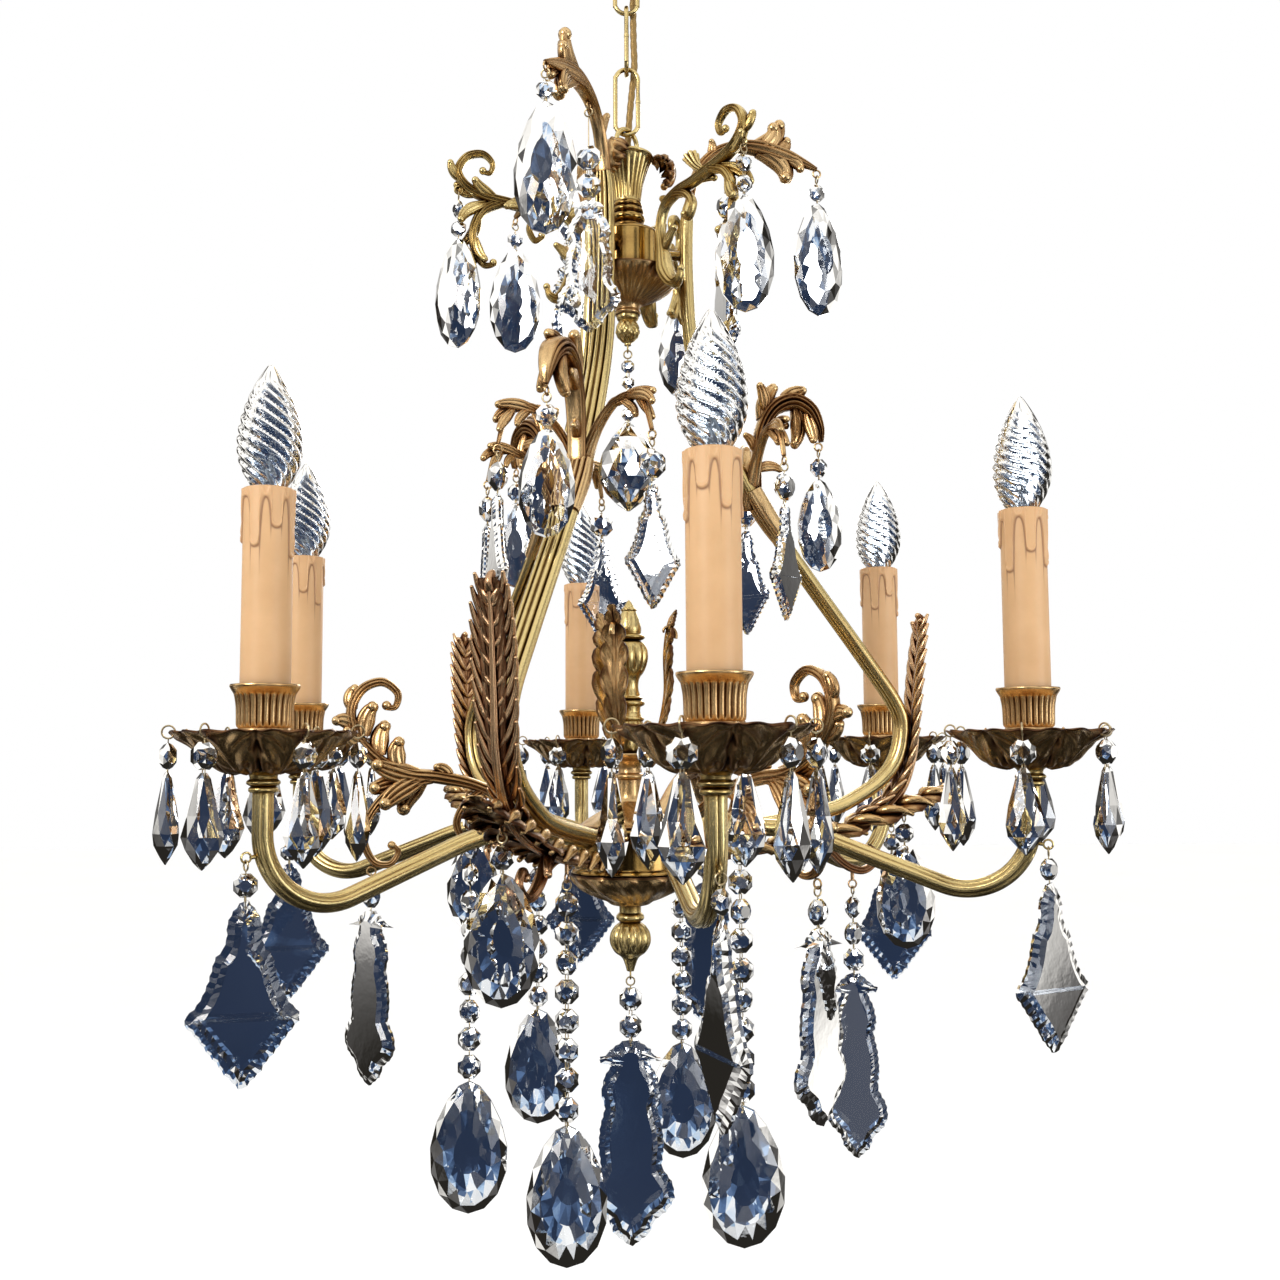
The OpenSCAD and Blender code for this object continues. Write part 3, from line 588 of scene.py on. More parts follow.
def hanging(count, d, drop, bare=0.4, yaw=0.0, twist=17.0):
    """A hook, a length of bare wire, count beads and a drop below them, from the middle of the
    hook's upper wire down. Returns the crystal and the wire as two shapes."""
    space = 1.6
    stones, wires = Shape(), Shape()
    wires.join(wire_ring((0, 0, -EYE_R), facing=90))
    start = 2 * EYE_R
    first = start + HOOK_WIRE / 2 + bare
    bead = octagon(d)
    for i in range(count):
        z = -first - d / 2 - i * (d + space)
        stones.join(bead, turned(yaw * (i + 1) / count + twist * math.sin(2.4 * i), (0, 0, z)))
        loop = [[0, 0.9 * math.sin(u), z - d / 2 - space / 2 + 1.9 * math.cos(u)]
                for u in around(14)]
        wires.join(tube(loop, 0.3, 6, closed=True))
    end = first + count * d + max(count - 1, 0) * space + 1
    wires.join(tube([[0, 0, 0.4 - start], [0, 0, -first - 1.4]], 0.35, 6))
    wires.join(tube([[0, 0, 1.6 - end], [0, 0.3, -end], [0, 0, -end - 3.0]], 0.35, 6))
    wires.join(ball((0, 0, -end - 3.2), 0.8, 8))
    stones.join(drop, turned(yaw, (0, 0, -end)))
    return stones, wires


# ---- materials ----
def material(name, **values):
    """A new Principled material, with its sockets set from values."""
    m = bpy.data.materials.new(name)
    m.use_nodes = True
    shader = m.node_tree.nodes["Principled BSDF"]
    for key, value in values.items():
        shader.inputs[key.replace("_", " ")].default_value = value
    return m, m.node_tree, shader


def node(tree, kind, **values):
    n = tree.nodes.new("ShaderNode" + kind)
    for key, value in values.items():
        if key in n.inputs:
            n.inputs[key].default_value = value
        else:
            setattr(n, key, value)
    return n


def ramp(tree, source, stops):
    r = node(tree, "ValToRGB")
    while len(r.color_ramp.elements) < len(stops):
        r.color_ramp.elements.new(0.5)
    for e, (at, colour) in zip(r.color_ramp.elements, stops):
        e.position = at
        e.color = (*colour, 1)
    tree.links.new(source, r.inputs["Fac"])
    return r.outputs["Color"]


def noise(tree, scale, detail=4.0, rough=0.55, vector=None):
    n = node(tree, "TexNoise", Scale=scale, Detail=detail, Roughness=rough)
    if vector is None:
        vector = node(tree, "TexCoord").outputs["Object"]
    tree.links.new(vector, n.inputs["Vector"])
    return n.outputs["Fac"]


def mixed(tree, fac, a, b, blend="MIX"):
    m = node(tree, "Mix", data_type="RGBA", blend_type=blend)
    for socket, value in ((m.inputs[0], fac), (m.inputs[6], a), (m.inputs[7], b)):
        if isinstance(value, bpy.types.NodeSocket):
            tree.links.new(value, socket)
        else:
            socket.default_value = value
    return m.outputs[2]


def maths(tree, kind, a, b=0.5, clamp=False):
    m = node(tree, "Math", operation=kind, use_clamp=clamp)
    for socket, value in zip(m.inputs, (a, b)):
        if isinstance(value, bpy.types.NodeSocket):
            tree.links.new(value, socket)
        else:
            socket.default_value = value
    return m.outputs[0]


def bump(tree, shader, height, strength, distance):
    b = node(tree, "Bump", Strength=strength, Distance=distance)
    tree.links.new(height, b.inputs["Height"])
    tree.links.new(b.outputs["Normal"], shader.inputs["Normal"])


def brass(name, deep, low, high, light, rough=(0.22, 0.42), grain=0.25, reach=0.006):
    """Cast brass: patina and painted shade in the hollows, worn metal on the ridges, soft blotches
    between.
    """
    m, tree, shader = material(name, Metallic=1.0)
    # An ambient-occlusion node darkens the hollows. This is painted shade that also stands in for
    # patina there, while pointiness lightens the worn ridges.
    hollow = node(tree, "AmbientOcclusion", Distance=reach, samples=8)
    dark = maths(tree, "POWER", hollow.outputs["AO"], 1.8)
    point = node(tree, "NewGeometry").outputs["Pointiness"]
    edge = maths(tree, "MULTIPLY_ADD", point, 6.0)
    edge.node.inputs[2].default_value = -2.2
    edge.node.use_clamp = True
    blotch = noise(tree, 55, 5)
    fine = noise(tree, 900, 3, 0.7)
    lit = maths(tree, "MULTIPLY", dark, edge)
    wear_and_shade = maths(tree, "ADD", maths(tree, "MULTIPLY", lit, 0.9),
                 maths(tree, "MULTIPLY", blotch, 0.45))
    wear_and_shade = maths(tree, "SUBTRACT", wear_and_shade, maths(tree, "MULTIPLY", fine, 0.16))
    colour = ramp(tree, wear_and_shade, [(0.12, deep), (0.38, low), (0.62, high), (0.86, light)])
    tree.links.new(colour, shader.inputs["Base Color"])
    r = node(tree, "MapRange")
    r.inputs["To Min"].default_value = rough[1]
    r.inputs["To Max"].default_value = rough[0]
    tree.links.new(wear_and_shade, r.inputs["Value"])
    tree.links.new(r.outputs["Result"], shader.inputs["Roughness"])
    height = maths(tree, "ADD", fine, maths(tree, "MULTIPLY", blotch, 0.6))
    bump(tree, shader, height, grain, 0.0004)
    return m


def crystal(name, colour, ior=1.58):
    """Polished lead crystal with faint ripples in its glass."""
    m, tree, shader = material(name, Roughness=0.0, IOR=ior, Transmission_Weight=1.0)
    shader.inputs["Specular IOR Level"].default_value = 0.8
    bright = tuple(min(1, c * 1.06) for c in colour)
    tint = ramp(tree, noise(tree, 70, 2), [(0.3, colour), (0.7, bright)])
    tree.links.new(tint, shader.inputs["Base Color"])
    bump(tree, shader, noise(tree, 160, 2), 0.04, 0.0006)
    return m


def bulb_glass(name):
    m, tree, shader = material(name, Roughness=0.0, IOR=1.48, Transmission_Weight=1.0)
    tint = ramp(tree, noise(tree, 90, 2), [(0.35, (0.84, 0.91, 0.97)), (0.65, (0.95, 0.98, 1.0))])
    tree.links.new(tint, shader.inputs["Base Color"])
    bump(tree, shader, noise(tree, 240, 2), 0.05, 0.0005)
    return m


def wax(name):
    """The sleeve's waxy cardboard: warm tan, with painted shade in the crease along each drip's
    edge, and a soft glow.
    """
    m, tree, shader = material(name, Roughness=0.42)
    shader.inputs["Subsurface Weight"].default_value = 0.12
    shader.inputs["Subsurface Radius"].default_value = (0.006, 0.003, 0.002)
    shader.inputs["Subsurface Scale"].default_value = 0.6
    # The attribute read here is painted shade along the foot of each drip's edge, and it is mixed
    # in as dark brown below.
    drip_edge_shade = node(tree, "Attribute", attribute_name="drip_edge_shade").outputs["Fac"]
    mottled = ramp(tree, noise(tree, 38, 5), [(0.3, (0.60, 0.355, 0.17)),
                                              (0.7, (0.68, 0.415, 0.21))])
    colour = mixed(tree, drip_edge_shade, mottled, (0.22, 0.10, 0.045, 1))
    tree.links.new(colour, shader.inputs["Base Color"])
    bump(tree, shader, noise(tree, 420, 4), 0.12, 0.0004)
    return m


def plain(name, colour, rough, metallic=0.0, grain=300, depth=0.1):
    """A plain moulded or drawn surface with fine variation."""
    m, tree, shader = material(name, Metallic=metallic)
    n = noise(tree, grain, 4)
    tint = ramp(tree, n, [(0.3, tuple(c * 0.86 for c in colour)), (0.7, colour)])
    tree.links.new(tint, shader.inputs["Base Color"])
    r = node(tree, "MapRange")
    r.inputs["To Min"].default_value = rough * 0.8
    r.inputs["To Max"].default_value = min(1, rough * 1.25)
    tree.links.new(n, r.inputs["Value"])
    tree.links.new(r.outputs["Result"], shader.inputs["Roughness"])
    bump(tree, shader, n, depth, 0.0003)
    return m


GILT = brass("gilt_brass", (0.04, 0.018, 0.006), (0.17, 0.095, 0.03), (0.43, 0.29, 0.095),
             (0.76, 0.60, 0.28), rough=(0.2, 0.4), reach=0.005)
POLISHED = brass("polished_brass", (0.08, 0.036, 0.01), (0.28, 0.16, 0.048), (0.48, 0.30, 0.10),
                 (0.72, 0.53, 0.23), rough=(0.1, 0.24), grain=0.08)
HUB = brass("hub_brass", (0.05, 0.02, 0.007), (0.15, 0.075, 0.022), (0.27, 0.15, 0.046),
            (0.46, 0.30, 0.10), rough=(0.1, 0.2), grain=0.08)
DARK = brass("dark_brass", (0.022, 0.01, 0.006), (0.10, 0.044, 0.022), (0.30, 0.16, 0.07),
             (0.68, 0.46, 0.22), rough=(0.22, 0.44), reach=0.006)
BRONZE = brass("brown_brass", (0.035, 0.014, 0.006), (0.16, 0.072, 0.03), (0.42, 0.235, 0.095),
               (0.76, 0.53, 0.27), rough=(0.2, 0.4), reach=0.005)
COPPERY = brass("coppery_brass", (0.03, 0.011, 0.006), (0.15, 0.06, 0.03), (0.38, 0.19, 0.095),
                (0.72, 0.48, 0.28), rough=(0.2, 0.4), reach=0.005)
CRYSTAL = crystal("lead_crystal", (0.93, 0.96, 1.0))
GLASS = bulb_glass("bulb_glass")
WAX = wax("candle_wax")
WIRE = plain("pin_wire", (0.62, 0.5, 0.3), 0.3, 1.0)
STEEL = plain("steel", (0.55, 0.54, 0.52), 0.35, 1.0)
PORCELAIN = plain("holder_plastic", (0.85, 0.83, 0.78), 0.4)
INSULATION = plain("wire_insulation", (0.75, 0.74, 0.7), 0.45)
LEAD = plain("lead_sleeve", (0.36, 0.23, 0.08), 0.4, 0.55, 900, 0.5)
FILAMENT = plain("bulb_stem", (0.5, 0.52, 0.55), 0.3, 0.6)


# ---- hanging loop, chain, canopy and lead ----
def stadium(length, width, wire, n=14):
    """The centre line of a long link that stands in the XZ plane, centred on its origin."""
    r, side = (width - wire) / 2, length - width
    top = [[r * math.cos(a), 0, side / 2 + r * math.sin(a)] for a in np.linspace(0, math.pi, n)]
    bottom = [[-x, 0, -z] for x, y, z in top]
    return top + bottom


def middle(name):
    low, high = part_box(name)
    return (low + high) / 2


def make_chain():
    for k in (1, 2, 3):
        name = f"chain_link_{k}"
        low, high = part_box(name)
        wide = max(high.x - low.x, high.y - low.y) / MM
        tall = (high.z - low.z) / MM
        line = stadium(tall, wide, 3)
        shape = tube(spline(line + line[:1], 2)[:-1], 1.5, 16, closed=True)
        # The wire's two ends meet in a butt seam on one side.
        seam = tube([[wide / 2 - 1.5, 0, -0.9], [wide / 2 - 1.5, 0, 0.9]], 1.68, 16)
        up = (middle(name).z - PAN_Z) / MM
        turn = 90 if k % 2 else 0
        both = merged(shape, seam)
        piece(f"link_{k}", both.moved(placed(turn, 0, up)), GILT, f"link_{k}", [name])


def make_loop():
    low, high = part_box("hanging_loop")
    top = (high.z - PAN_Z) / MM
    r, wire = 9.4, 3.2
    c = top - wire / 2 - r
    line = [[r * math.cos(a), 0, c + r * math.sin(a)] for a in np.linspace(0, math.pi, 20)]
    line = [[r, 0, c - 12]] + [[r, 0, c - 6]] + line + [[-r, 0, c - 6], [-r, 0, c - 12]]
    shape = tube(spline(line, 2), wire / 2, 16)
    bar = sweep([[x, c - 12.5, 2.5, 1.5] for x in (-11, 0, 11)], rounded_bar(), 2)
    shape.join(bar)
    bottom = (low.z - PAN_Z) / MM
    shape.join(lathe([[[0, bottom], [5, bottom]], [[5, c - 13]], [[0, c - 13]]], 32))
    piece("hanging_loop", shape.moved(placed(135)), GILT, "frame", ["hanging_loop"])


def make_canopy():
    r, h0 = 54, -PAN_Z / MM
    inner = 44.4
    shape = lathe([
        [[r, 0], [r, -4]], [[r - 1.4, -6.4], [r - 3, -8]], [[48.4, -16], [44, -25], [37.5, -35],
        [30, -43.4], [22.6, -50], [17.6, -55]], [[19.4, -56.6], [17.4, -58.2]], [[17, -61],
        [17.6, -63], [17, -64]], [[13.5, -64]], [[13.5, -57]], [[20.4, -50], [28, -43.4],
        [35.4, -35.4], [41.5, -26], [inner, -20]], [[inner, 0]], [[r, 0]]], 128)
    piece("ceiling_canopy", shape.moved(placed(0, 0, h0)), POLISHED, "ceiling", ["canopy"])


CORD = [
    [9, 25, 571.9], [9, 24, 553], [11, 16, 544], [10.5, 8.5, 530], [9, 5.6, 512], [4.8, 6, 494],
    [4.6, 4.6, 478], [4.8, 5.2, 462], [5.2, 5.8, 444], [3.6, 6.4, 428], [2, 7.4, 412],
    [1, 8.6, 398], [0.5, 9.2, 386], [0, 9.2, 374]]
LEAD_R = 2.3
LEAD_LAY = 14       # one turn of the twisted cores


def make_lead():
    """The lead, in one stretch for each chain joint. Stretches meet halfway down a link, and none
    of them rides on a body."""
    p = spline(CORD, 16)
    twist = lengths(p) / LEAD_LAY * 2 * np.pi
    radii = LEAD_R * (0.84 + 0.16 * np.abs(np.cos(around(20) - twist[:, None])))
    rows = rings_along(p, radii, np.array([1.0, 0, 0]))
    cuts = [572] + [(middle(f"chain_link_{k}").z - PAN_Z) / MM for k in (1, 2, 3)] + [370]
    ids = [int(np.argmin(np.abs(p[:, 2] - h))) for h in cuts]
    for k in range(4):
        part = rows[ids[k]:ids[k + 1] + 1]
        shape = Shape().add(*grid(part, cap_start=True, cap_end=True))
        obj = piece(f"lead_{k + 1}", shape.moved(lambda q: q * MM + [0, 0, PAN_Z]), LEAD,
                    None, ["power_cord"])
        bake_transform(obj)


# ---- turned column ----
def make_column():
    def part(name, shape, finish, node_name, slot, up=0.0):
        piece(name, shape.moved(placed(0, 0, up)), finish, "frame", [node_name])

    cup = lathe([
        [[5.1, 347.2], [9, 347.2]], [[9.4, 352], [10.6, 360], [13, 368], [16.4, 377]], [[17.4, 378],
        [17, 379.4], [16, 379.4], [15.2, 378.4]], [[12, 369], [9.4, 360], [8.4, 355]], [[5.1, 355]],
        [[5.1, 347.2]]], 144, flutes(20, 0.9, 348.5, 376.5))
    part("top_cup", cup, GILT, "top_cup", "aged_brass")
    collar = Shape()
    ruffle = [
        [14.6, 376, 7], [20, 380.4, 10], [27, 379.4, 11], [31, 372.6, 10], [29.6, 364.6, 7.6],
        [25, 360, 3]]
    one = merged(leaf(ruffle, 5, slant=0.1, depth=0.42, cup=0.22, thick=1.6, rib=1.3, vein=1.2,
                      curl=0.34), ball((25, 0, 361), 2.6))
    for a in STAY_DIRECTIONS:
        collar.join(one, placed(a))
    piece("top_cup_leaves", collar, DARK, "frame", ())

    hub = lathe([
        [[5.1, 298], [24, 298]], [[24.6, 299], [24, 300.4]], [[21.3, 301]], [[21, 302], [21, 323],
        [21.3, 324.6]], [[19.6, 327], [14, 328.4], [9.8, 328.6]], [[10.9, 330], [10.9, 331.6],
        [9.4, 333]], [[11.2, 334.6], [11.8, 336.4], [11.2, 338.2], [9.4, 339.6]], [[10.8, 341],
        [10.6, 342.6], [9.2, 344]], [[10, 345.2], [9.6, 347]], [[5.1, 347]],
        [[5.1, 298]]], 96).moved(placed(0))
    for a in STAY_DIRECTIONS:
        stud = tube([[19, 0, 314], [26, 0, 314], [35, 0, 314]], 3, 20)
        nut = tube([[20, 0, 314], [24, 0, 314]], 4.8, 6)
        hub.join(merged(stud, nut), placed(a))
    piece("top_hub", hub, HUB, "frame", ["top_hub"])

    dome = lathe([
        [[5.1, 272], [8, 272]], [[8.6, 273.4], [7.8, 275.4]], [[9, 278.6], [14, 281.4], [21, 284.6],
        [28, 289], [32.6, 294], [34, 297.2]], [[34, 297.9]], [[5.1, 297.9]], [[5.1, 272]]],
                 216, flutes(30, 1.1, 278, 296.8))
    part("top_dome", dome, DARK, "top_dome", "aged_brass")

    def knurl(a, r, h):
        near = between(h, 255.6, 267.5)
        return 0.45 * near * (np.abs(np.sin(6 * a + 0.5 * h)) + np.abs(np.sin(6 * a - 0.5 * h)) - 1)
    knob = lathe([
        [[0, 252], [2.2, 252]], [[2.4, 253.6], [4.4, 255], [7, 258.6], [7.6, 262], [6.8, 265.6],
        [5.8, 268]], [[7, 269.6], [7.2, 271.8]], [[5.1, 271.8]], [[5.1, 262]],
        [[0, 262]]], 96, knurl)
    part("top_finial", merged(knob, eye_at(0, 250)), GILT, "top_finial", "brass")

    def swirl(a, r, h):
        return 0.9 * between(h, -58, -44, 3) * np.cos(9 * a + 0.35 * h)
    stem = lathe([
        [[5.1, -59.8], [32, -59.8]], [[32.4, -58.4], [30.6, -57]], [[27, -54.6], [20, -50.6],
        [13.4, -46.6], [9, -43.2]], [[7.6, -40], [7.2, -34], [7.2, -30]], [[9.2, -28.8],
        [9.2, -26.8], [7.4, -25.4]], [[7.2, -22], [9.4, -18.4], [13.6, -16.2], [15.8, -15]],
        [[16.4, -14.2], [16, -13.2]], [[5.1, -13.2]], [[5.1, -59.8]]], 144, swirl)
    part("centre_stem", stem, DARK, "centre_stem", "brass")

    def gadroon(a, r, h):
        near, foot = between(h, 38, 56.4, 2.5, 2), between(h, -12, 8)
        return -1.3 * near * (1 - np.abs(np.cos(5 * a))) - 1.0 * foot * (1 - np.abs(np.cos(6 * a)))
    urn = lathe([
        [[5.1, -13], [9.8, -13]], [[11.6, -10], [12.2, -4], [11, 2], [8.4, 7]], [[9.4, 8.6],
        [8.2, 10.4]], [[7, 13], [7.2, 16.4]], [[9.6, 17.6], [9.6, 19.4], [7.4, 20.8]], [[8.6, 21.8],
        [7.2, 23]], [[5.9, 28], [6.2, 33], [7.4, 36]], [[10.4, 40], [12.4, 46.4], [12, 53],
        [9.4, 57.4]], [[7, 58.6]], [[9.8, 60], [9.8, 61.6], [7.6, 63]], [[7.8, 67], [6.4, 73],
        [4.6, 77.4]], [[5, 78.6], [3.4, 80.4], [1.6, 83.4], [0, 85]], [[0, 38]], [[5.1, 38]],
        [[5.1, -13]]], 140, gadroon)
    part("centre_urn", urn, GILT, "centre_urn", "brass")

    drum = lathe([
        [[5.1, -88], [36.6, -88]], [[37.2, -87], [36.4, -85.6]], [[34.8, -84.6]], [[34.6, -82],
        [34.6, -66], [34.8, -63.6]], [[36.4, -62.8], [37.2, -61.4], [36.6, -60]], [[5.1, -60]],
        [[5.1, -88]]], 128)
    part("lower_hub", drum, HUB, "lower_hub", "brass")

    def foliage(a, r, h):
        return between(h, -107, -89, 3, 2) * (1.1 * np.cos(12 * a) + 0.5 * np.cos(24 * a + 0.5 * h))
    dish = lathe([
        [[5.1, -108.4], [9, -108.4]], [[12, -107.6], [14.6, -105.6]], [[22, -102.6], [30, -98.6],
        [35.4, -93.6], [37.4, -89.6]], [[37.4, -88.2]], [[5.1, -88.2]], [[5.1, -108.4]]],
                 192, foliage)
    part("lower_dish", dish, DARK, "lower_dish", "aged_brass")

    def bulge(a, r, h):
        return -1.2 * between(h, -137, -120, 3, 2) * (1 - np.abs(np.cos(6 * a)))
    bottom = lathe([
        [[0, -149], [2.2, -149]], [[3.4, -145], [5.4, -140.6], [10, -137], [12.8, -131.4],
        [12.4, -125.4], [9.6, -120.8]], [[6.4, -118.6]], [[8.6, -116.8], [8.6, -114.6],
        [6.8, -112.6]], [[6.8, -108.6]], [[0, -108.6]]], 120, bulge)
    part("bottom_finial", merged(bottom, eye_at(0, -151.2)), GILT, "bottom_finial", "brass")

    leaves = Shape()
    for a in STAY_DIRECTIONS:
        leaves.join(leaf([
            [12.6, -11, 4], [19, 0, 7], [24, 24, 9.5], [24, 50, 8.5], [26.4, 68, 5],
            [30.6, 79, 1.6]], 7, depth=0.4, thick=1.8, rib=1.1, vein=0.9), placed(a))
        curl = sweep(spiral(24, 64, 7, 1.1, -30, 200, 1.6), channelled(), 3)
        leaves.join(curl, placed(a))
    piece("column_leaves", leaves, DARK, "frame", ["column_leaves"])


# ---- arms ----
ARM_LINE = dict(rise=12, fall=20, bow_r=130, turn_r=38, low=-92, fall_x=130, top=-23)


def arm_points(start_r=33.5):
    """The arm's centre line: up over a bow, down a straight fall and up round to the candle."""
    g = ARM_LINE
    rise, fall = math.radians(g["rise"]), math.radians(g["fall"])
    tx, th = ARM_REACH - g["turn_r"], g["low"] + g["turn_r"]
    ix, ih = tx - g["turn_r"] * math.sin(fall), th - g["turn_r"] * math.cos(fall)
    fh = ih + (ix - g["fall_x"]) * math.tan(fall)
    bx, bh = g["fall_x"] - g["bow_r"] * math.sin(fall), fh - g["bow_r"] * math.cos(fall)
    sx, sh = bx - g["bow_r"] * math.sin(rise), bh + g["bow_r"] * math.cos(rise)
    pts = [[start_r + (sx - start_r) * s, sh - (sx - start_r) * (1 - s) * math.tan(rise)]
           for s in np.linspace(0, 1, 6)[:-1]]
    pts += [[bx + g["bow_r"] * math.sin(a), bh + g["bow_r"] * math.cos(a)]
            for a in np.linspace(-rise, fall, 14)]
    pts += [[g["fall_x"] + (ix - g["fall_x"]) * s, fh + (ih - fh) * s]
            for s in np.linspace(0, 1, 8)[1:]]
    pts += [[tx + g["turn_r"] * math.cos(a), th + g["turn_r"] * math.sin(a)]
            for a in np.linspace(-math.pi / 2 - fall, 0, 30)[1:]]
    pts += [[ARM_REACH, th + (g["top"] - th) * s] for s in np.linspace(0, 1, 5)[1:]]
    return np.array(pts)


def make_arms():
    line = arm_points()
    t = headings(line)
    a = around(80)
    r = 5.5 * (1 - 0.15 * (1 - np.abs(np.cos(3 * a)) ** 0.6))
    rows = [np.stack([x - th * r * np.sin(a), r * np.cos(a), h + tx * r * np.sin(a)], 1)
            for (x, h), (tx, th) in zip(line, t)]
    arm = Shape().add(*grid(rows, cap_start=True, cap_end=True))
    collar = lathe([
        [[4.6, -33], [6.6, -33]], [[7.6, -32], [7.4, -30.6], [6.4, -29.8]], [[8.4, -28.6],
        [8.6, -27.2], [7, -25.8]], [[7.4, -24], [9, -22.6], [9.2, -22]], [[4.6, -22]],
        [[4.6, -33]]], 64)
    pendant = SWINGS["arm_pendant_1"]["pos_m"]
    out = math.hypot(pendant[0], pendant[1]) / MM
    up = (pendant[2] - PAN_Z) / MM + HOOK_BELOW_EYE
    lug = tube([[ARM_REACH + 2, 0, up + 1], [ARM_REACH + 4, 0, up + 0.3], [out - 2.2, 0, up]],
               1.1, 10)
    whole = merged(arm, collar.moved(lambda p: p + [ARM_REACH, 0, 0]), eye_at(out, up), lug)
    for k, direction in enumerate(ARM_DIRECTIONS, 1):
        piece(f"arm_{k}", whole.moved(placed(direction)), GILT, "frame", [f"arm_{k}"])


# ---- cage, branches and leaves ----
STAY = [
    [42, 352, 4.6, 3], [40, 338, 6, 4.2], [39.5, 300, 6.4, 4.4], [43, 250, 7.4, 4.5],
    [58, 204, 8, 4.5], [79, 160, 8, 4.5], [110, 113, 8, 4.5], [155, 51, 8, 4.5], [178, 17, 8, 4.5],
    [181, -3, 8, 4.5], [173, -24, 8, 4.5], [152, -41, 8, 4.5], [120, -53, 8, 4.5],
    [35.2, -66, 8, 4.5]]


def make_cage():
    stay = sweep(STAY, reeded(4, 90, 0.5), 10)
    for k, a in enumerate(STAY_DIRECTIONS, 1):
        piece(f"stay_{k}", stay.moved(placed(a)), GILT, "frame", ["stays"])


def crown_trident():
    """A brown leaf branch that leans out from a stay's top and ends in curled lobes."""
    parts = scroll([
        [42, 352, 5, 3], [44, 363, 4.4, 3.2], [50, 377, 4.2, 3.2], [61, 387.4, 4.4, 3.4],
        [76, 392, 5, 4], [92, 391.4, 5.4, 5.4], [108, 387.6, 4.6, 5.2], [121, 383.6, 3, 3],
        [130, 380, 1.6, 1.4]])
    parts += lobes((82, 391, 14, 31, 5.4, 78, 4, 0.03), (90, 391, 30, 19, 5.2, 84, 4.4, -0.1),
                   (99, 390, 18, 15, 4.2, 70, 3.6, 0.14), (88, 389, -14, 28, 5.2, -84, 4, -0.06),
                   (99, 387, -24, 19, 4.6, -84, 3.8, 0.12),
                   (108, 386, -14, 13, 3.6, -70, 3.2, -0.16), (48, 372, 96, 15, 3.2, 30, 3, 0.2),
                   (56, 383, 70, 10, 2.6, 50, 2.8, -0.3))
    parts += [eye_at(130, 377), eye_at(66, 383.6)]
    return merged(*parts)


def crown_scroll():
    """A brass branch: a pod foot against the hub, a tall C scroll and hanging lobes."""
    parts = scroll([
        [53, 288, 1.8, 1.6], [51, 283, 2.8, 2.4], [47, 281, 4, 3], [42.4, 284.4, 5, 4],
        [38.2, 292, 6, 4.6], [36.4, 301, 5, 4], [34.6, 311, 3.6, 2.8], [33.8, 323, 3.4, 2.6],
        [39, 334, 3.6, 2.8], [51, 339, 4, 3], [66, 340.4, 4.2, 3.2], [79, 343, 4.2, 3.4],
        [93, 346, 4.2, 3.4], [105, 352, 4.2, 3.2], [110.5, 362, 3.8, 2.8], [105, 372, 3.4, 2.5],
        [95, 374.6, 3, 2.2], [88.6, 369, 2.4, 1.9], [90, 362.4, 2, 1.6], [95, 363, 1.7, 1.4]], [
        [82, 343, 4, 3], [94, 337, 3.8, 3], [100.4, 325, 3.2, 2.8], [100, 311, 2.8, 2.4],
        [94, 301, 2.4, 2], [87.6, 301.4, 2, 1.6]], [
        [50, 338, 4, 2.8], [59, 334.6, 3.6, 2.6], [64.4, 327, 3, 2.2], [61, 319, 2.4, 1.9],
        [56, 321.6, 2, 1.6]])
    parts.append(sweep([[78, 342, 2.6, 2.4], [72, 346, 2.6, 2.4], [67.6, 350, 3.4, 3.2],
                        [63, 357, 6, 5.4]], channelled(4, 48, 0.3), 6))
    parts += [ball((94.6, 0, 363.4), 2.5), ball((87.6, 0, 302.6), 2.5),
              ball((56.4, 0, 322.4), 2.4), ball((53, 0, 288.6), 2.4)]
    parts += lobes((86, 345, 24, 17, 3.4, 40, 3.2, 0.2), (98, 348, 6, 15, 3.2, 60, 3, -0.2),
                   (108, 356, 38, 13, 2.8, 50, 2.8, 0.2), (92, 341, -20, 22, 3.2, -58, 3, 0.3),
                   (97, 331, -70, 17, 3, 40, 2.8, -0.3), (99, 318, -96, 16, 2.8, -50, 2.6, 0.2),
                   (99, 312, -84, 14, 2.4, 40, 2.4, -0.2), (40, 333, 120, 11, 2.6, 40, 2.6, 0.2),
                   (66, 341, 8, 14, 2.8, -50, 2.6, 0.3), (38, 306, 60, 14, 2.6, -30, 2.6, 0))
    parts.append(eye_at(110, 349.5))
    return merged(*parts)


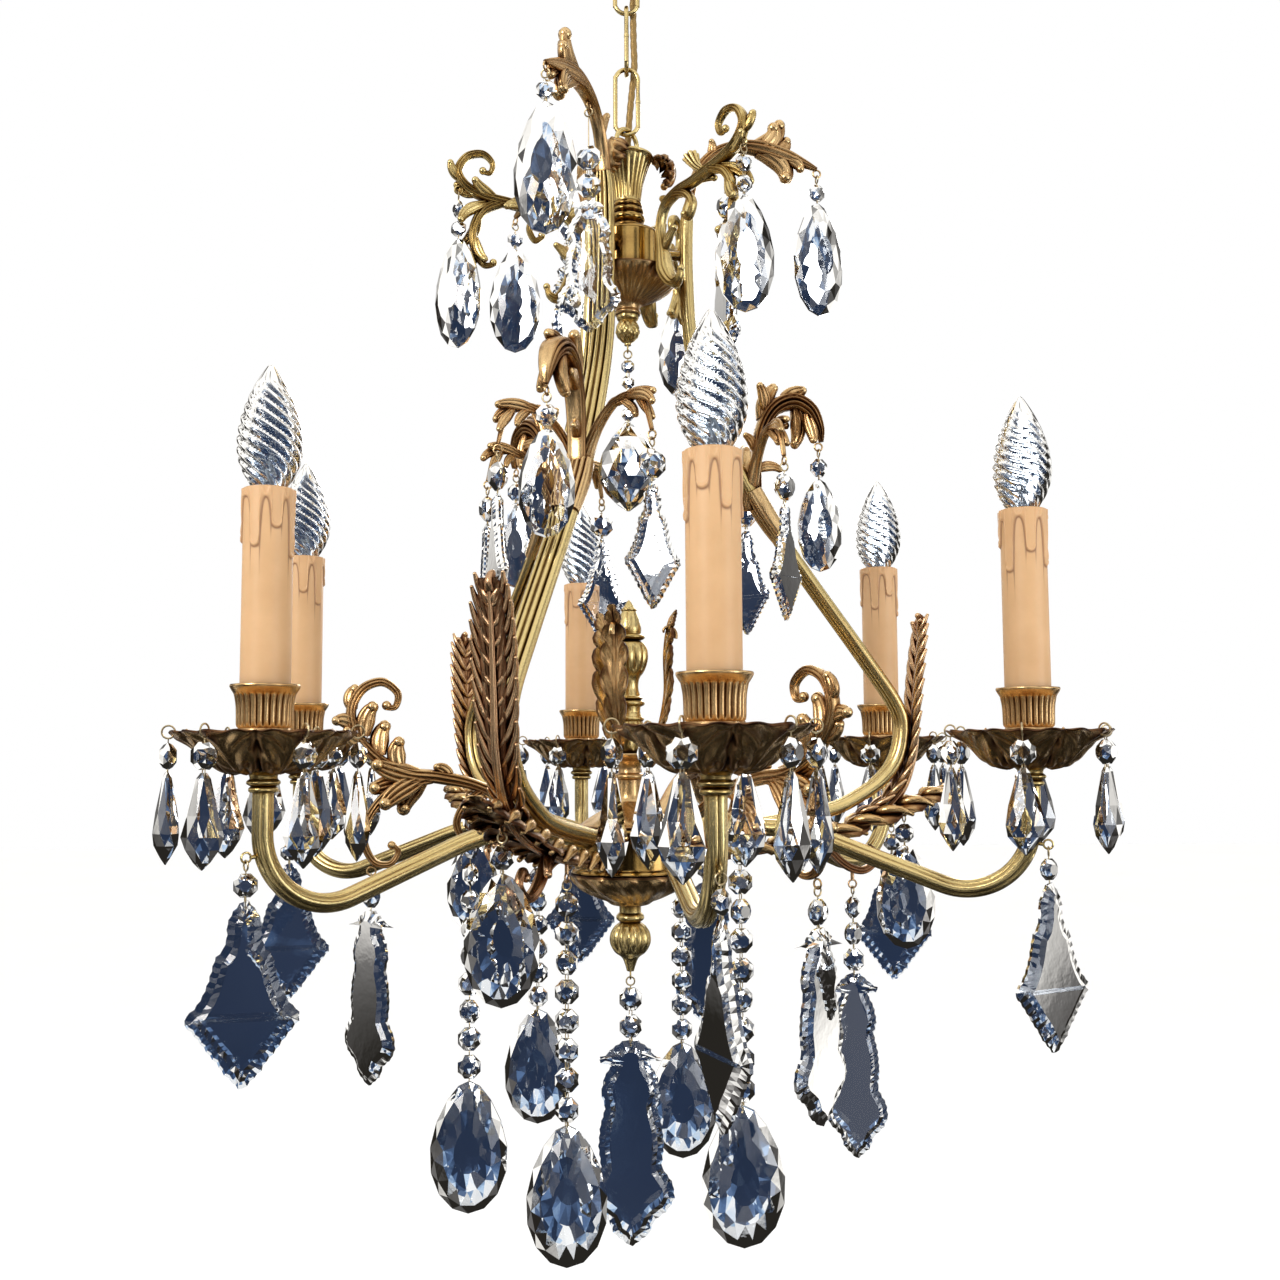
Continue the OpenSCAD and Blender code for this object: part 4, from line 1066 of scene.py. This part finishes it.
def leaf_spray():
    """A leaf that rises off the stay and arches over, with a reeded branch to each side."""
    parts = [sweep([
        [103, 124.6, 8.6, 5.0], [95, 136, 9.4, 6.2], [87.4, 148, 9.8, 6.6],
        [82, 157.4, 9.2, 6.4]], reeded(6, 90, 0.3), 6)]
    parts.append(sweep([
        [85, 158, 6, 3.4], [85.4, 178, 6, 3.4], [88.6, 198, 6.4, 4.2], [97, 213, 7.4, 5.2],
        [110, 219, 8, 5.8], [122, 213.6, 7, 5.2], [128.4, 202, 4.6, 3.6],
        [130, 192.6, 2, 1.6]], ribbed(4, 64), 8))
    parts += lobes((89, 206, 78, 25, 4.6, -34, 5, 0.16), (101, 215, 52, 19, 4.2, -54, 5, -0.2),
                   (92, 210, 96, 18, 3.4, 30, 4, -0.3), (86, 198, 34, 23, 3.6, -54, 4, 0.25),
                   (112, 214, -70, 23, 4.4, -52, 5, 0.2), (119, 211, -72, 19, 3.6, -20, 4, -0.3),
                   (85, 172, 30, 19, 3, -70, 3, 0.3), (85, 184, 110, 13, 2.6, 50, 3, -0.3))
    for side in (-1, 1):
        branch = merged(
            *scroll([
            [0, 146, 5, 3.4], [5, 162, 4.4, 3.2], [13, 178, 3.6, 2.8], [24, 190, 3, 2.4],
            [36, 193.6, 2.8, 2.2], [45, 188, 2.2, 1.8], [50, 171, 1.4, 1.2]]),
            lobe(26, 190, 24, 24, 3.0, -40, 2.6, 0.1), lobe(34, 193, 4, 20, 3.0, -70, 2.6, -0.15),
            lobe(30, 191, -30, 12, 2.4, -60, 2.4, 0.2), lobe(20, 186, 60, 9, 2.2, -40, 2.4, 0),
            lobe(40, 192, -50, 15, 2.6, -20, 2.4, 0.2), eye_at(50, 168))
        parts.append(branch.moved(turned(78 * side, (80, 0, 0))))
    parts.append(eye_at(128, 189))
    return merged(*parts)


def acanthus(third):
    """The big leaf as two castings: dark and wide along the arms' level, then upright."""
    low = [
        [34, -78, 9], [62, -76, 14], [98, -71, 16], [130, -64, 16.4], [160, -54, 15],
        [186, -45, 12], [203, -39, 7], [212, -34, 2.4]]
    high = [
        [150, -54, 7], [170, -44, 9.6], [184, -24, 11.4], [189, 0, 12.4], [191, 22, 12.4],
        [193.6, 46, 11], [196, 63, 8], [198, 75, 4]]
    foot = merged(leaf(low, 8, slant=0.2, depth=0.5, cup=0.14, thick=1.6, rib=1.6, vein=1.4,
                       curl=0.3),
                  fingers(low, 10, 2.9, 1.4, 0.02, 0.9, 0.24, 0.3, 0.3))
    parts = [leaf([[x, h, w * 0.62] for x, h, w in high], 10, slant=0.3, depth=0.3, cup=0.04,
                  thick=1.2, rib=0.6, vein=0.9, curl=0.1),
             fingers([[x, h, w * 1.15] for x, h, w in high], 14, 2.0, 1.7, 0.0, 0.9, 0.0, 0.1, 0.3,
                     flare=1.5, lag=1.3)]
    parts.append(sweep([
        [34, -80, 5, 3], [62, -78.6, 4, 2.8], [98, -73.6, 3.4, 2.6], [130, -66.6, 3, 2.4],
        [160, -56.4, 2.8, 2.4], [180, -40, 2.6, 2.3], [190, -14, 2.3, 2.1], [192.4, 14, 1.9, 1.8],
        [195, 46, 1.5, 1.4], [198.4, 75, 1, 1]], channelled(3), 8))
    parts += scroll([
        [122, -66, 4, 3], [139, -84, 3.6, 2.8], [153, -89.4, 3.2, 2.6], [162.6, -82, 2.6, 2.2],
        [158, -74.4, 2.2, 1.8], [152.4, -77.6, 1.6, 1.4]])
    parts += [lobe(197, 68, 84, 10, 2.6, 60, 3, 0), lobe(196, 62, 96, 11, 2.4, 20, 2.6, 0.55),
              lobe(196, 62, 96, 11, 2.4, 20, 2.6, -0.55),
              lobe(122, -68, -10, 20, 3.4, -60, 3.4, 0.3)]
    parts += [ball((153.4, 0, -78.6), 2.4), eye_at(182, -52)]
    for x, h in [(100, -83)] + ([(146, -98)] if third else []):
        parts += [eye_at(x, h), tube([[x, 0, h + 2.4], [x, 0, h + 11]], 1.2, 10)]
    return foot, merged(*parts)


def lower_scroll():
    parts = scroll([
        [35.2, -68, 5, 3.4], [60, -52, 4.6, 3.2], [93, -34, 4.6, 3.4], [118, -27.6, 5, 4.2],
        [140, -24.6, 5, 4], [158, -15, 4.4, 3.6], [170, -1, 4.2, 3.4], [173.4, 14, 4, 3.2],
        [167, 27, 3.8, 3], [155, 31.6, 3.4, 2.8], [145.6, 25, 3, 2.4],
        [146.6, 16.4, 2.4, 2], [152.6, 15.8, 2, 1.7]], [
        [124, -28, 4.6, 3.4], [146, -34, 4.2, 3.2], [160, -48, 3.8, 2.8], [165, -64, 3.4, 2.5],
        [159, -78, 3, 2.3], [149, -80, 2.6, 2.1],
        [144, -72.6, 2.2, 1.8], [148.6, -67.6, 1.8, 1.5]], [
        [92, -35, 4, 3], [104, -45, 3.6, 2.6], [108.6, -57, 3.2, 2.4], [102, -67, 2.8, 2.1],
        [94.6, -64.6, 2.2, 1.8], [95.6, -59.4, 1.8, 1.5]])
    parts += [ball((152, 0, 17), 3), ball((148, 0, -68.6), 2.6), ball((96.6, 0, -60.4), 2.5),
              ball((171.6, 0, -54), 3), tube([[164, 0, -54], [171, 0, -54]], 1.2, 8)]
    parts += [lobe(128, -27, heading, length, 5.6, curl, 4.2, lean, 4)
              for heading, length, curl, lean in ((-26, 29, -24, 0.1), (-10, 31, -8, -0.1),
                                                  (6, 30, 26, 0.08), (-42, 24, -44, -0.14))]
    parts += lobes((143, -22, 66, 17, 4.8, 60, 4, 0.08), (155, -14, 78, 19, 5, 56, 4, -0.1),
                   (165, -2, 88, 19, 4.8, 50, 4, 0.1), (170, 4, 36, 13, 4, -60, 3.6, 0.12),
                   (172, 14, 70, 14, 4, 70, 3.6, -0.12), (164, -6, 14, 14, 4, 60, 3.6, 0.16),
                   (112, -28, 60, 12, 3, -70, 3, 0.2))
    parts += [eye_at(160, -84.2), eye_at(100, -39)]
    return merged(*parts)


def make_branches():
    groups = [("crown_trident", STAY_DIRECTIONS, crown_trident(), BRONZE, "aged_brass"),
              ("crown_scroll", SCROLL_DIRECTIONS, crown_scroll(), GILT, "brass"),
              ("leaf_spray", STAY_DIRECTIONS, leaf_spray(), BRONZE, "aged_brass"),
              ("lower_scroll", SCROLL_DIRECTIONS, lower_scroll(), BRONZE, "brass")]
    for name, directions, shape, finish, slot in groups:
        for k, a in enumerate(directions, 1):
            piece(f"{name}_{k}", shape.moved(placed(a)), finish, "frame", [name + "s"])
    for k, a in enumerate(STAY_DIRECTIONS, 1):
        foot, blade = acanthus(k == 2)
        piece(f"acanthus_foot_{k}", foot.moved(placed(a)), DARK, "frame",
              ["acanthus_leaves"])
        piece(f"acanthus_{k}", blade.moved(placed(a)), COPPERY, "frame",
              ["acanthus_leaves"])


# ---- candles ----
def drip_pan():
    """A cast dish with six leaves round its underside, curled at the sides, and a wavy rim."""
    a = around(288)
    across = 1 - np.abs(((a - np.pi / 6) / (np.pi / 3)) % 1 * 2 - 1)
    under = spline([
        [5.1, -21.8], [13, -21.6], [21, -20], [27.4, -16], [32.6, -11], [38, -6.6], [43, -3.8],
        [47, -2]], 7)
    top = spline([[47.4, -0.8], [44, -1.8], [38, -4], [32, -8], [24, -14], [14, -18],
                  [5.1, -18.8]], 5)
    rows = []
    for i, (r, h) in enumerate(list(under) + [np.array([48.0, -1.3])] + list(top)):
        lower = i <= len(under)
        share = (r - 8) / 40
        fade = np.clip((r - 8) / 6, 0, 1) * np.clip((49 - r) / 5, 0.3, 1)
        rib = 1.5 * np.exp(-(across / 0.1) ** 2)
        veins = (0.9 * np.cos(2 * np.pi * (3.4 * share - 1.5 * across))
                 * np.clip(across * 6 - 0.5, 0, 1))
        split = -2.8 * np.exp(-((1 - across) / 0.09) ** 2)
        volute = 2.0 * np.exp(-((share - 0.42) / 0.12) ** 2 - ((across - 0.62) / 0.22) ** 2)
        dimple = -2.2 * np.exp(-((share - 0.42) / 0.05) ** 2 - ((across - 0.62) / 0.09) ** 2)
        swell = 1.0 * np.cos(np.pi * across / 2)
        lift = fade * (rib + veins + split + volute + dimple + swell)
        rim = np.clip((r - 34) / 14, 0, 1)
        wave = 0.5 + 0.5 * np.cos(2 * np.pi * 1.5 * across)
        rr = r - rim * (2.6 * (1 - wave) + 1.2 * across)
        z = h - lift if lower else h - 0.25 * fade * split
        rows.append(ring(a, rr, z - rim * 0.8 * (1 - wave)))
    return flipped(Shape().add(*grid(rows, close_rows=True)))


def candle_cup():
    return lathe([
        [[5.1, -18.6], [10.6, -18.6]], [[12.4, -15], [12.6, -10], [12.0, -4]], [[13.4, -2.6],
        [13.6, -1], [13.2, 0.2]], [[14.4, 2], [14.6, 8], [14.9, 13], [15.8, 18]], [[17.4, 20.6],
        [18, 22], [17.8, 23]], [[16.4, 23.2]], [[14.4, 19], [13.5, 15]], [[13.5, 2]], [[5.1, 2]],
        [[5.1, -18.6]]], 312, flutes(26, 1.25, 0.5, 18.6))


DRIPS = [(0.3, 27, 0.2), (1.15, 17, 0.22), (1.95, 32, 0.19), (2.9, 21, 0.22), (3.75, 29, 0.2),
         (4.6, 15, 0.24), (5.45, 24, 0.2)]


def sleeve(turn):
    """A candle sleeve whose wax has run down from the rim in long fingers. Returns the shape and
    how much painted shade each point gets, darkest in the crease at the foot of a drip's edge."""
    top, low, r = 126.0, 2.2, 13.25
    a = around(240)
    line = np.full_like(a, 5.0)
    for at, length, half in DRIPS:
        d = np.abs((a - at - turn + np.pi) % (2 * np.pi) - np.pi) / half
        tip = 13 * half
        line = line + np.where(d < 1, length - tip + tip * np.sqrt(np.clip(1 - d * d, 0, 1)),
                               (length - tip) * np.exp(-np.clip(d - 1, 0, 9) / 0.3))
    edge = top - line
    heights = np.concatenate([np.linspace(low, 86, 12), np.linspace(86, top - 0.4, 130)[1:]])
    slope = np.abs(np.gradient(edge, a * r))
    rows, drip_edge_shade = [], []
    for h in heights:
        depth = (h - edge) / np.sqrt(1 + slope ** 2)
        coat = np.clip(depth / 0.9, 0, 1) ** 0.5
        lip = np.exp(-((depth - 1.3) / 0.9) ** 2)
        rr = r - 0.25 + 0.7 * coat + 0.5 * lip
        rows.append(ring(a, rr, h))
        # Painted shade in the crease just outside the wax coat's edge.
        drip_edge_shade.append(np.exp(-((depth + 0.1) / 0.65) ** 2) * 0.8)
    for rr, h in ((13.2, top + 0.1), (12.8, top + 0.3), (12.2, top), (12.05, top - 1),
                  (12.05, low)):
        rows.append(ring(a, rr, h))
        drip_edge_shade.append(0 * a)
    shape = flipped(Shape().add(*grid(rows, close_rows=True)))
    return shape, np.concatenate(drip_edge_shade)


def bulb():
    """A flame bulb whose glass is cut in spirals that all wind one way, as a thin shell."""
    profile = spline([
        [7.0, 120], [8.4, 126], [12.6, 132.6], [16, 141], [17, 150], [16, 160], [13, 171],
        [9, 180.6], [5, 188], [2.2, 192.4]], 9)
    a = around(160)
    outer = []
    for r, h in profile:
        fade = between(h, 122, 184, 6, 14)
        cuts = np.abs(np.sin(5 * (a + (h - 120) * 0.1)))
        rr = np.minimum(r * (1.01 - 0.11 * fade * (1 - cuts) ** 1.2), 17.4)
        outer.append(ring(a, rr, h))
    outer.append(ring(a, 0.9, 193.7))
    inner = [ring(a, r * 0.88 - 0.6, h - 0.4) for r, h in profile[:-4][::-1]]
    return flipped(Shape().add(*grid(outer + inner, close_rows=True)))


def bulb_insides():
    """The glass stem, its two posts and the zigzag filament."""
    stem = lathe([
        [[0, 118], [4.6, 118]], [[3.4, 124], [2.4, 130], [2, 138]], [[2.6, 140], [1.4, 142]],
        [[0, 142]], [[0, 118]]], 24)
    parts = [stem]
    for s in (-1, 1):
        parts.append(tube([[0, s * 1.4, 138], [0, s * 3.4, 146], [0, s * 5.6, 158]], 0.35, 6))
    turns = [[1.1 * math.cos(u * 9), 5.6 * math.cos(u),
              158 + 7 * math.sin(u) + 1.1 * math.sin(u * 9)] for u in np.linspace(0, math.pi, 60)]
    parts.append(tube(turns, 0.25, 6))
    return merged(*parts)


def screw_cap():
    def thread(a, r, h):
        return 0.35 * between(h, 99, 117) * np.cos(2 * np.pi * h / 2.8 + a)
    return lathe([
        [[0, 96.4], [3.6, 96.4]], [[5.6, 98.4], [6.6, 100]], [[6.6, 104], [6.6, 108], [6.6, 112],
        [6.6, 117]], [[7.2, 118.6], [7.2, 121]], [[0, 121]], [[0, 96.4]]],
                 60, thread)


def make_candles():
    pan, cup = drip_pan(), candle_cup()
    glass, insides, cap = bulb(), bulb_insides(), screw_cap()
    drops, wires = Shape(), Shape()
    for k in range(6):
        stones, pins = pan_drop()
        around = turned(30 + 60 * k)
        edge = (PAN_R - 0.2, 0, -1.6)
        drops.join(stones.moved(lambda p: p + edge), around)
        wires.join(pins.moved(lambda p: p + edge), around)
    for k, a in enumerate(ARM_DIRECTIONS, 1):
        here = placed(a, ARM_REACH)
        piece(f"drip_pan_{k}", pan.moved(here), DARK, "frame", ["bobeches"])
        piece(f"candle_cup_{k}", cup.moved(here), BRONZE, "frame", ["candle_cups"])
        shape, drip_edge_shade = sleeve(1.1 * k)
        obj = piece(f"candle_sleeve_{k}", shape.moved(here), WAX, "frame",
                    ["candle_sleeves"], sharp=60)
        # Stores the painted shade along the drips' edges for the wax material.
        layer = obj.data.attributes.new("drip_edge_shade", "FLOAT", "POINT")
        layer.data.foreach_set("value", drip_edge_shade.astype(np.float32))
        piece(f"bulb_{k}", glass.moved(here), GLASS, "frame", ["bulbs"])
        piece(f"bulb_stem_{k}", insides.moved(here), FILAMENT, "frame", ())
        piece(f"bulb_cap_{k}", cap.moved(here), POLISHED, "frame", ())
        piece(f"pan_drops_{k}", drops.moved(here), CRYSTAL, "frame", ["bobeche_drops"],
              sharp=0)
        piece(f"pan_wires_{k}", wires.moved(here), WIRE, "frame", ())


def pan_drop():
    """A ring through the pan's rim, an octagon bead and an icicle."""
    stones, pins = Shape(), Shape()
    pins.join(wire_ring((0, 0, 0), 3.3))
    stones.join(octagon(14.6), turned(12, (0, 0, -12.4)))
    pins.join(tube([[0, 0.8 * math.sin(u), -20.2 + 1.8 * math.cos(u)]
                    for u in around(14)], 0.3, 6, closed=True))
    pins.join(tube([[0, 0, -3.2], [0, 0, -6]], 0.35, 6))
    stones.join(icicle(47, 22, 14), turned(8, (0, 0, -20.6)))
    return stones, pins


# ---- crystals ----
# Each drop came to rest at its own turn. TURNS are from a drop's branch, and FACES from the front.
TRIDENT_DROP_TURNS = (10, -75, -39)
SCROLL_DROP_TURNS = (-35, 0, 50)
SPRAY_DROP_TURNS = (16, -80, -39)
ARM_PENDANT_FACES = (-68, 30, -11, 2, 14, 15)
SCROLL_PENDANT_FACES = (48, -4, -42)
STRAND_PLATE_FACE = -15


def hang(name, body, nodes, direction, out, up, made):
    stones, wires = made
    here = placed(direction, out, up)
    piece(name, stones.moved(here), CRYSTAL, body, nodes, sharp=0)
    piece(f"{name}_wire", wires.moved(here), WIRE, body, ())


def make_fixed_crystals():
    for k, a in enumerate(STAY_DIRECTIONS, 1):
        hang(f"crown_drop_{k}", "frame", ["crown_drops"], a, 130, 377 - HOOK_BELOW_EYE,
             hanging(1, 12, almond(78, 35, 18), yaw=TRIDENT_DROP_TURNS[k - 1]))
        hang(f"crown_plate_{k}", "frame", ["crown_drops"], a, 66, 383.6 - HOOK_BELOW_EYE,
             hanging(2, 16, plate(83, 40, 8, LONG_PLATE), 18, yaw=10))
        hang(f"spray_drop_{k}", "frame", ["spray_drops"], a, 128, 189 - HOOK_BELOW_EYE,
             hanging(1, 13, almond(62, 30, 15), yaw=SPRAY_DROP_TURNS[k - 1]))
        for side in (-1, 1):
            stones, wires = hanging(1, 18, plate(74, 36, 7, PLATE), yaw=-30 * side)
            move = turned(78 * side, (80, 0, 0))
            shift = lambda p: p + [50, 0, 168 - HOOK_BELOW_EYE]
            both = [s.moved(shift).moved(move) for s in (stones, wires)]
            name = f"spray_plate_{k}_{'left' if side < 0 else 'right'}"
            hang(name, "frame", ["spray_drops"], a, 0, 0, both)
    for k, a in enumerate(SCROLL_DIRECTIONS, 1):
        hang(f"crown_almond_{k}", "frame", ["crown_drops"], a, 110, 349.5 - HOOK_BELOW_EYE,
             hanging(2, 11, almond(72, 33, 17), yaw=SCROLL_DROP_TURNS[k - 1]))


def square_on(direction):
    """The turn of under a quarter that brings a drop hung in a direction square to the front."""
    return (90 - direction) % 180 - 90


def make_swinging_crystals():
    """Each hangs on its own joint, its plates turned to the directions they came to rest in."""
    made = {"centre_ball": hanging(4, 9, cut_ball(58, 39)),
            "bottom_pendant": hanging(2, 15, plate(124, 54, 8, LONG_PLATE, 60))}
    for k in range(6):
        made[f"arm_pendant_{k + 1}"] = hanging(
            1, 13, plate(94, 57, 8, PLATE), yaw=ARM_PENDANT_FACES[k] - ARM_DIRECTIONS[k])
    for k in range(3):
        made[f"scroll_pendant_{k + 1}"] = hanging(
            1, 15, plate(104, 48, 8, LONG_PLATE, 52),
            yaw=SCROLL_PENDANT_FACES[k] - SCROLL_DIRECTIONS[k])
        made[f"leaf_pendant_{k + 1}"] = hanging(
            1, 13, almond(67, 36, 18), yaw=square_on(STAY_DIRECTIONS[k]))
        made[f"strand_{k + 1}"] = hanging(
            10, 15, almond(78, 44, 20), yaw=square_on(SCROLL_DIRECTIONS[k]))
    made["strand_4"] = hanging(8, 14.4, almond(76, 42, 20), yaw=square_on(STAY_DIRECTIONS[0]))
    made["strand_5"] = hanging(6, 14.4, almond(76, 42, 20), yaw=square_on(STAY_DIRECTIONS[2]))
    made["strand_6"] = hanging(3, 15, plate(116, 40, 8, LONG_PLATE, 60),
                               yaw=STRAND_PLATE_FACE - STAY_DIRECTIONS[1])
    for name, parts in made.items():
        x, y, z = SWINGS[name]["pos_m"]
        out = math.hypot(x, y)
        direction = math.degrees(math.atan2(x, -y)) if out > 1e-4 else 0
        hang(name + "_crystal", name, [name], direction, out / MM, (z - PAN_Z) / MM, parts)


# ---- carried-over CAD pieces ----
def finish_cad():
    for name, finish in {"ceiling_hook": STEEL, "canopy_screws": POLISHED, "centre_rod": STEEL,
                         "lamp_holders": PORCELAIN, "arm_wires": INSULATION}.items():
        for s in frame["nodes"][name].material_slots:
            s.material = finish


# ---- stage ----
SENSOR_MM, LENS_MM = 36, 37.8
CAMERA_AWAY, CAMERA_BELOW_PANS = 0.857, 0.016
FLOOR_Z, FLOOR_HALF = -2.6, 30


def make_camera():
    """The photograph's view: from a little below the drip pans, looking slightly up."""
    pitch, roll, yaw = (math.radians(angle) for angle in (5.01, -0.29, 0.47))
    ahead = Vector((math.sin(yaw) * math.cos(pitch), math.cos(yaw) * math.cos(pitch),
                    math.sin(pitch)))
    side = Vector((math.cos(yaw), -math.sin(yaw), 0))
    up = side.cross(ahead)
    right = side * math.cos(roll) + up * math.sin(roll)
    top = up * math.cos(roll) - side * math.sin(roll)
    data = bpy.data.cameras.new("camera")
    data.sensor_width, data.lens = SENSOR_MM, LENS_MM
    cam = bpy.data.objects.new("camera", data)
    m = Matrix((right, top, -ahead)).transposed().to_4x4()
    m.translation = (0, -CAMERA_AWAY, PAN_Z - CAMERA_BELOW_PANS)
    cam.matrix_world = m
    bpy.context.scene.collection.objects.link(cam)
    bpy.context.scene.camera = cam


def area_light(name, at, size, power, colour=(1, 1, 1), aim=(0, 0, -0.55)):
    data = bpy.data.lights.new(name, "AREA")
    data.shape, data.size, data.energy, data.color = "SQUARE", size, power, colour
    obj = bpy.data.objects.new(name, data)
    obj.location = at
    obj.rotation_euler = (Vector(aim) - Vector(at)).to_track_quat("-Z", "Y").to_euler()
    obj.visible_camera = False
    bpy.context.scene.collection.objects.link(obj)


def make_stage():
    """A pale floor far below, a white surround, and a dim blue room with bright windows that only
    light passing through the glass sees."""
    world = bpy.data.worlds.new("studio")
    bpy.context.scene.world = world
    world.use_nodes = True
    tree = world.node_tree
    tree.nodes.clear()
    out = node(tree, "OutputWorld")
    direction = node(tree, "TexCoord").outputs["Generated"]
    height = node(tree, "SeparateXYZ")
    tree.links.new(direction, height.inputs[0])
    slope = maths(tree, "ABSOLUTE", height.outputs["Z"])
    windows = maths(tree, "ADD", noise(tree, 5.5, 3, 0.6, direction),
                    maths(tree, "MULTIPLY", maths(tree, "SUBTRACT", slope, 0.42), 0.42))
    through = ramp(tree, windows, [(0.0, (0.012, 0.02, 0.04)), (0.50, (0.022, 0.036, 0.075)),
                                   (0.55, (0.11, 0.19, 0.36)), (0.58, (0.52, 0.70, 0.92)),
                                   (0.61, (1.0, 1.0, 1.0))])
    room = ramp(tree, maths(tree, "ADD", noise(tree, 2.6, 2, 0.5, direction),
                            maths(tree, "MULTIPLY", height.outputs["Z"], 0.16)),
                [(0.42, (0.02, 0.018, 0.015)), (0.5, (0.16, 0.155, 0.15)),
                 (0.58, (1.15, 1.12, 1.06))])
    path = node(tree, "LightPath")
    lit = mixed(tree, path.outputs["Is Diffuse Ray"], room, (1.03, 1.03, 1.03, 1))
    lit = mixed(tree, path.outputs["Is Transmission Ray"], lit, through)
    lit = mixed(tree, path.outputs["Is Camera Ray"], lit, (1, 1, 1, 1))
    back = node(tree, "Background")
    tree.links.new(lit, back.inputs["Color"])
    back.inputs["Strength"].default_value = 1.0
    tree.links.new(back.outputs[0], out.inputs["Surface"])

    floor_shape = Shape()
    span = np.linspace(-FLOOR_HALF, FLOOR_HALF, 7)
    floor_shape.add(*grid([[[x, y, FLOOR_Z] for x in span] for y in span], close_columns=False))
    mesh = bpy.data.meshes.new("floor")
    mesh.from_pydata(floor_shape.all_points().tolist(), [], floor_shape.all_quads().tolist())
    pale, tree, shader = material("pale_floor", Roughness=0.9)
    tint = ramp(tree, noise(tree, 0.8, 3), [(0.3, (0.985, 0.985, 0.985)), (0.7, (1.0, 1.0, 1.0))])
    tree.links.new(tint, shader.inputs["Base Color"])
    mesh.materials.append(pale)
    floor = bpy.data.objects.new("floor", mesh)
    bpy.context.scene.collection.objects.link(floor)
    floor.visible_transmission = False
    floor.visible_glossy = False
    floor.visible_shadow = False

    area_light("key", (-1.6, -1.9, 0.4), 0.8, 22, (1.0, 0.97, 0.93))
    area_light("fill", (1.9, -1.3, -0.5), 1.0, 9, (0.94, 0.97, 1.0))
    area_light("back", (0.4, 2.0, 0.3), 1.0, 16)
    area_light("floor_light", (0, 1.5, -1.1), 4.0, 70, aim=(0, 1.5, FLOOR_Z))
    bpy.context.scene.view_settings.view_transform = "Standard"


make_camera()
make_stage()
make_chain()
make_loop()
make_canopy()
make_lead()
make_column()
make_arms()
make_cage()
make_branches()
make_candles()
make_fixed_crystals()
make_swinging_crystals()
finish_cad()
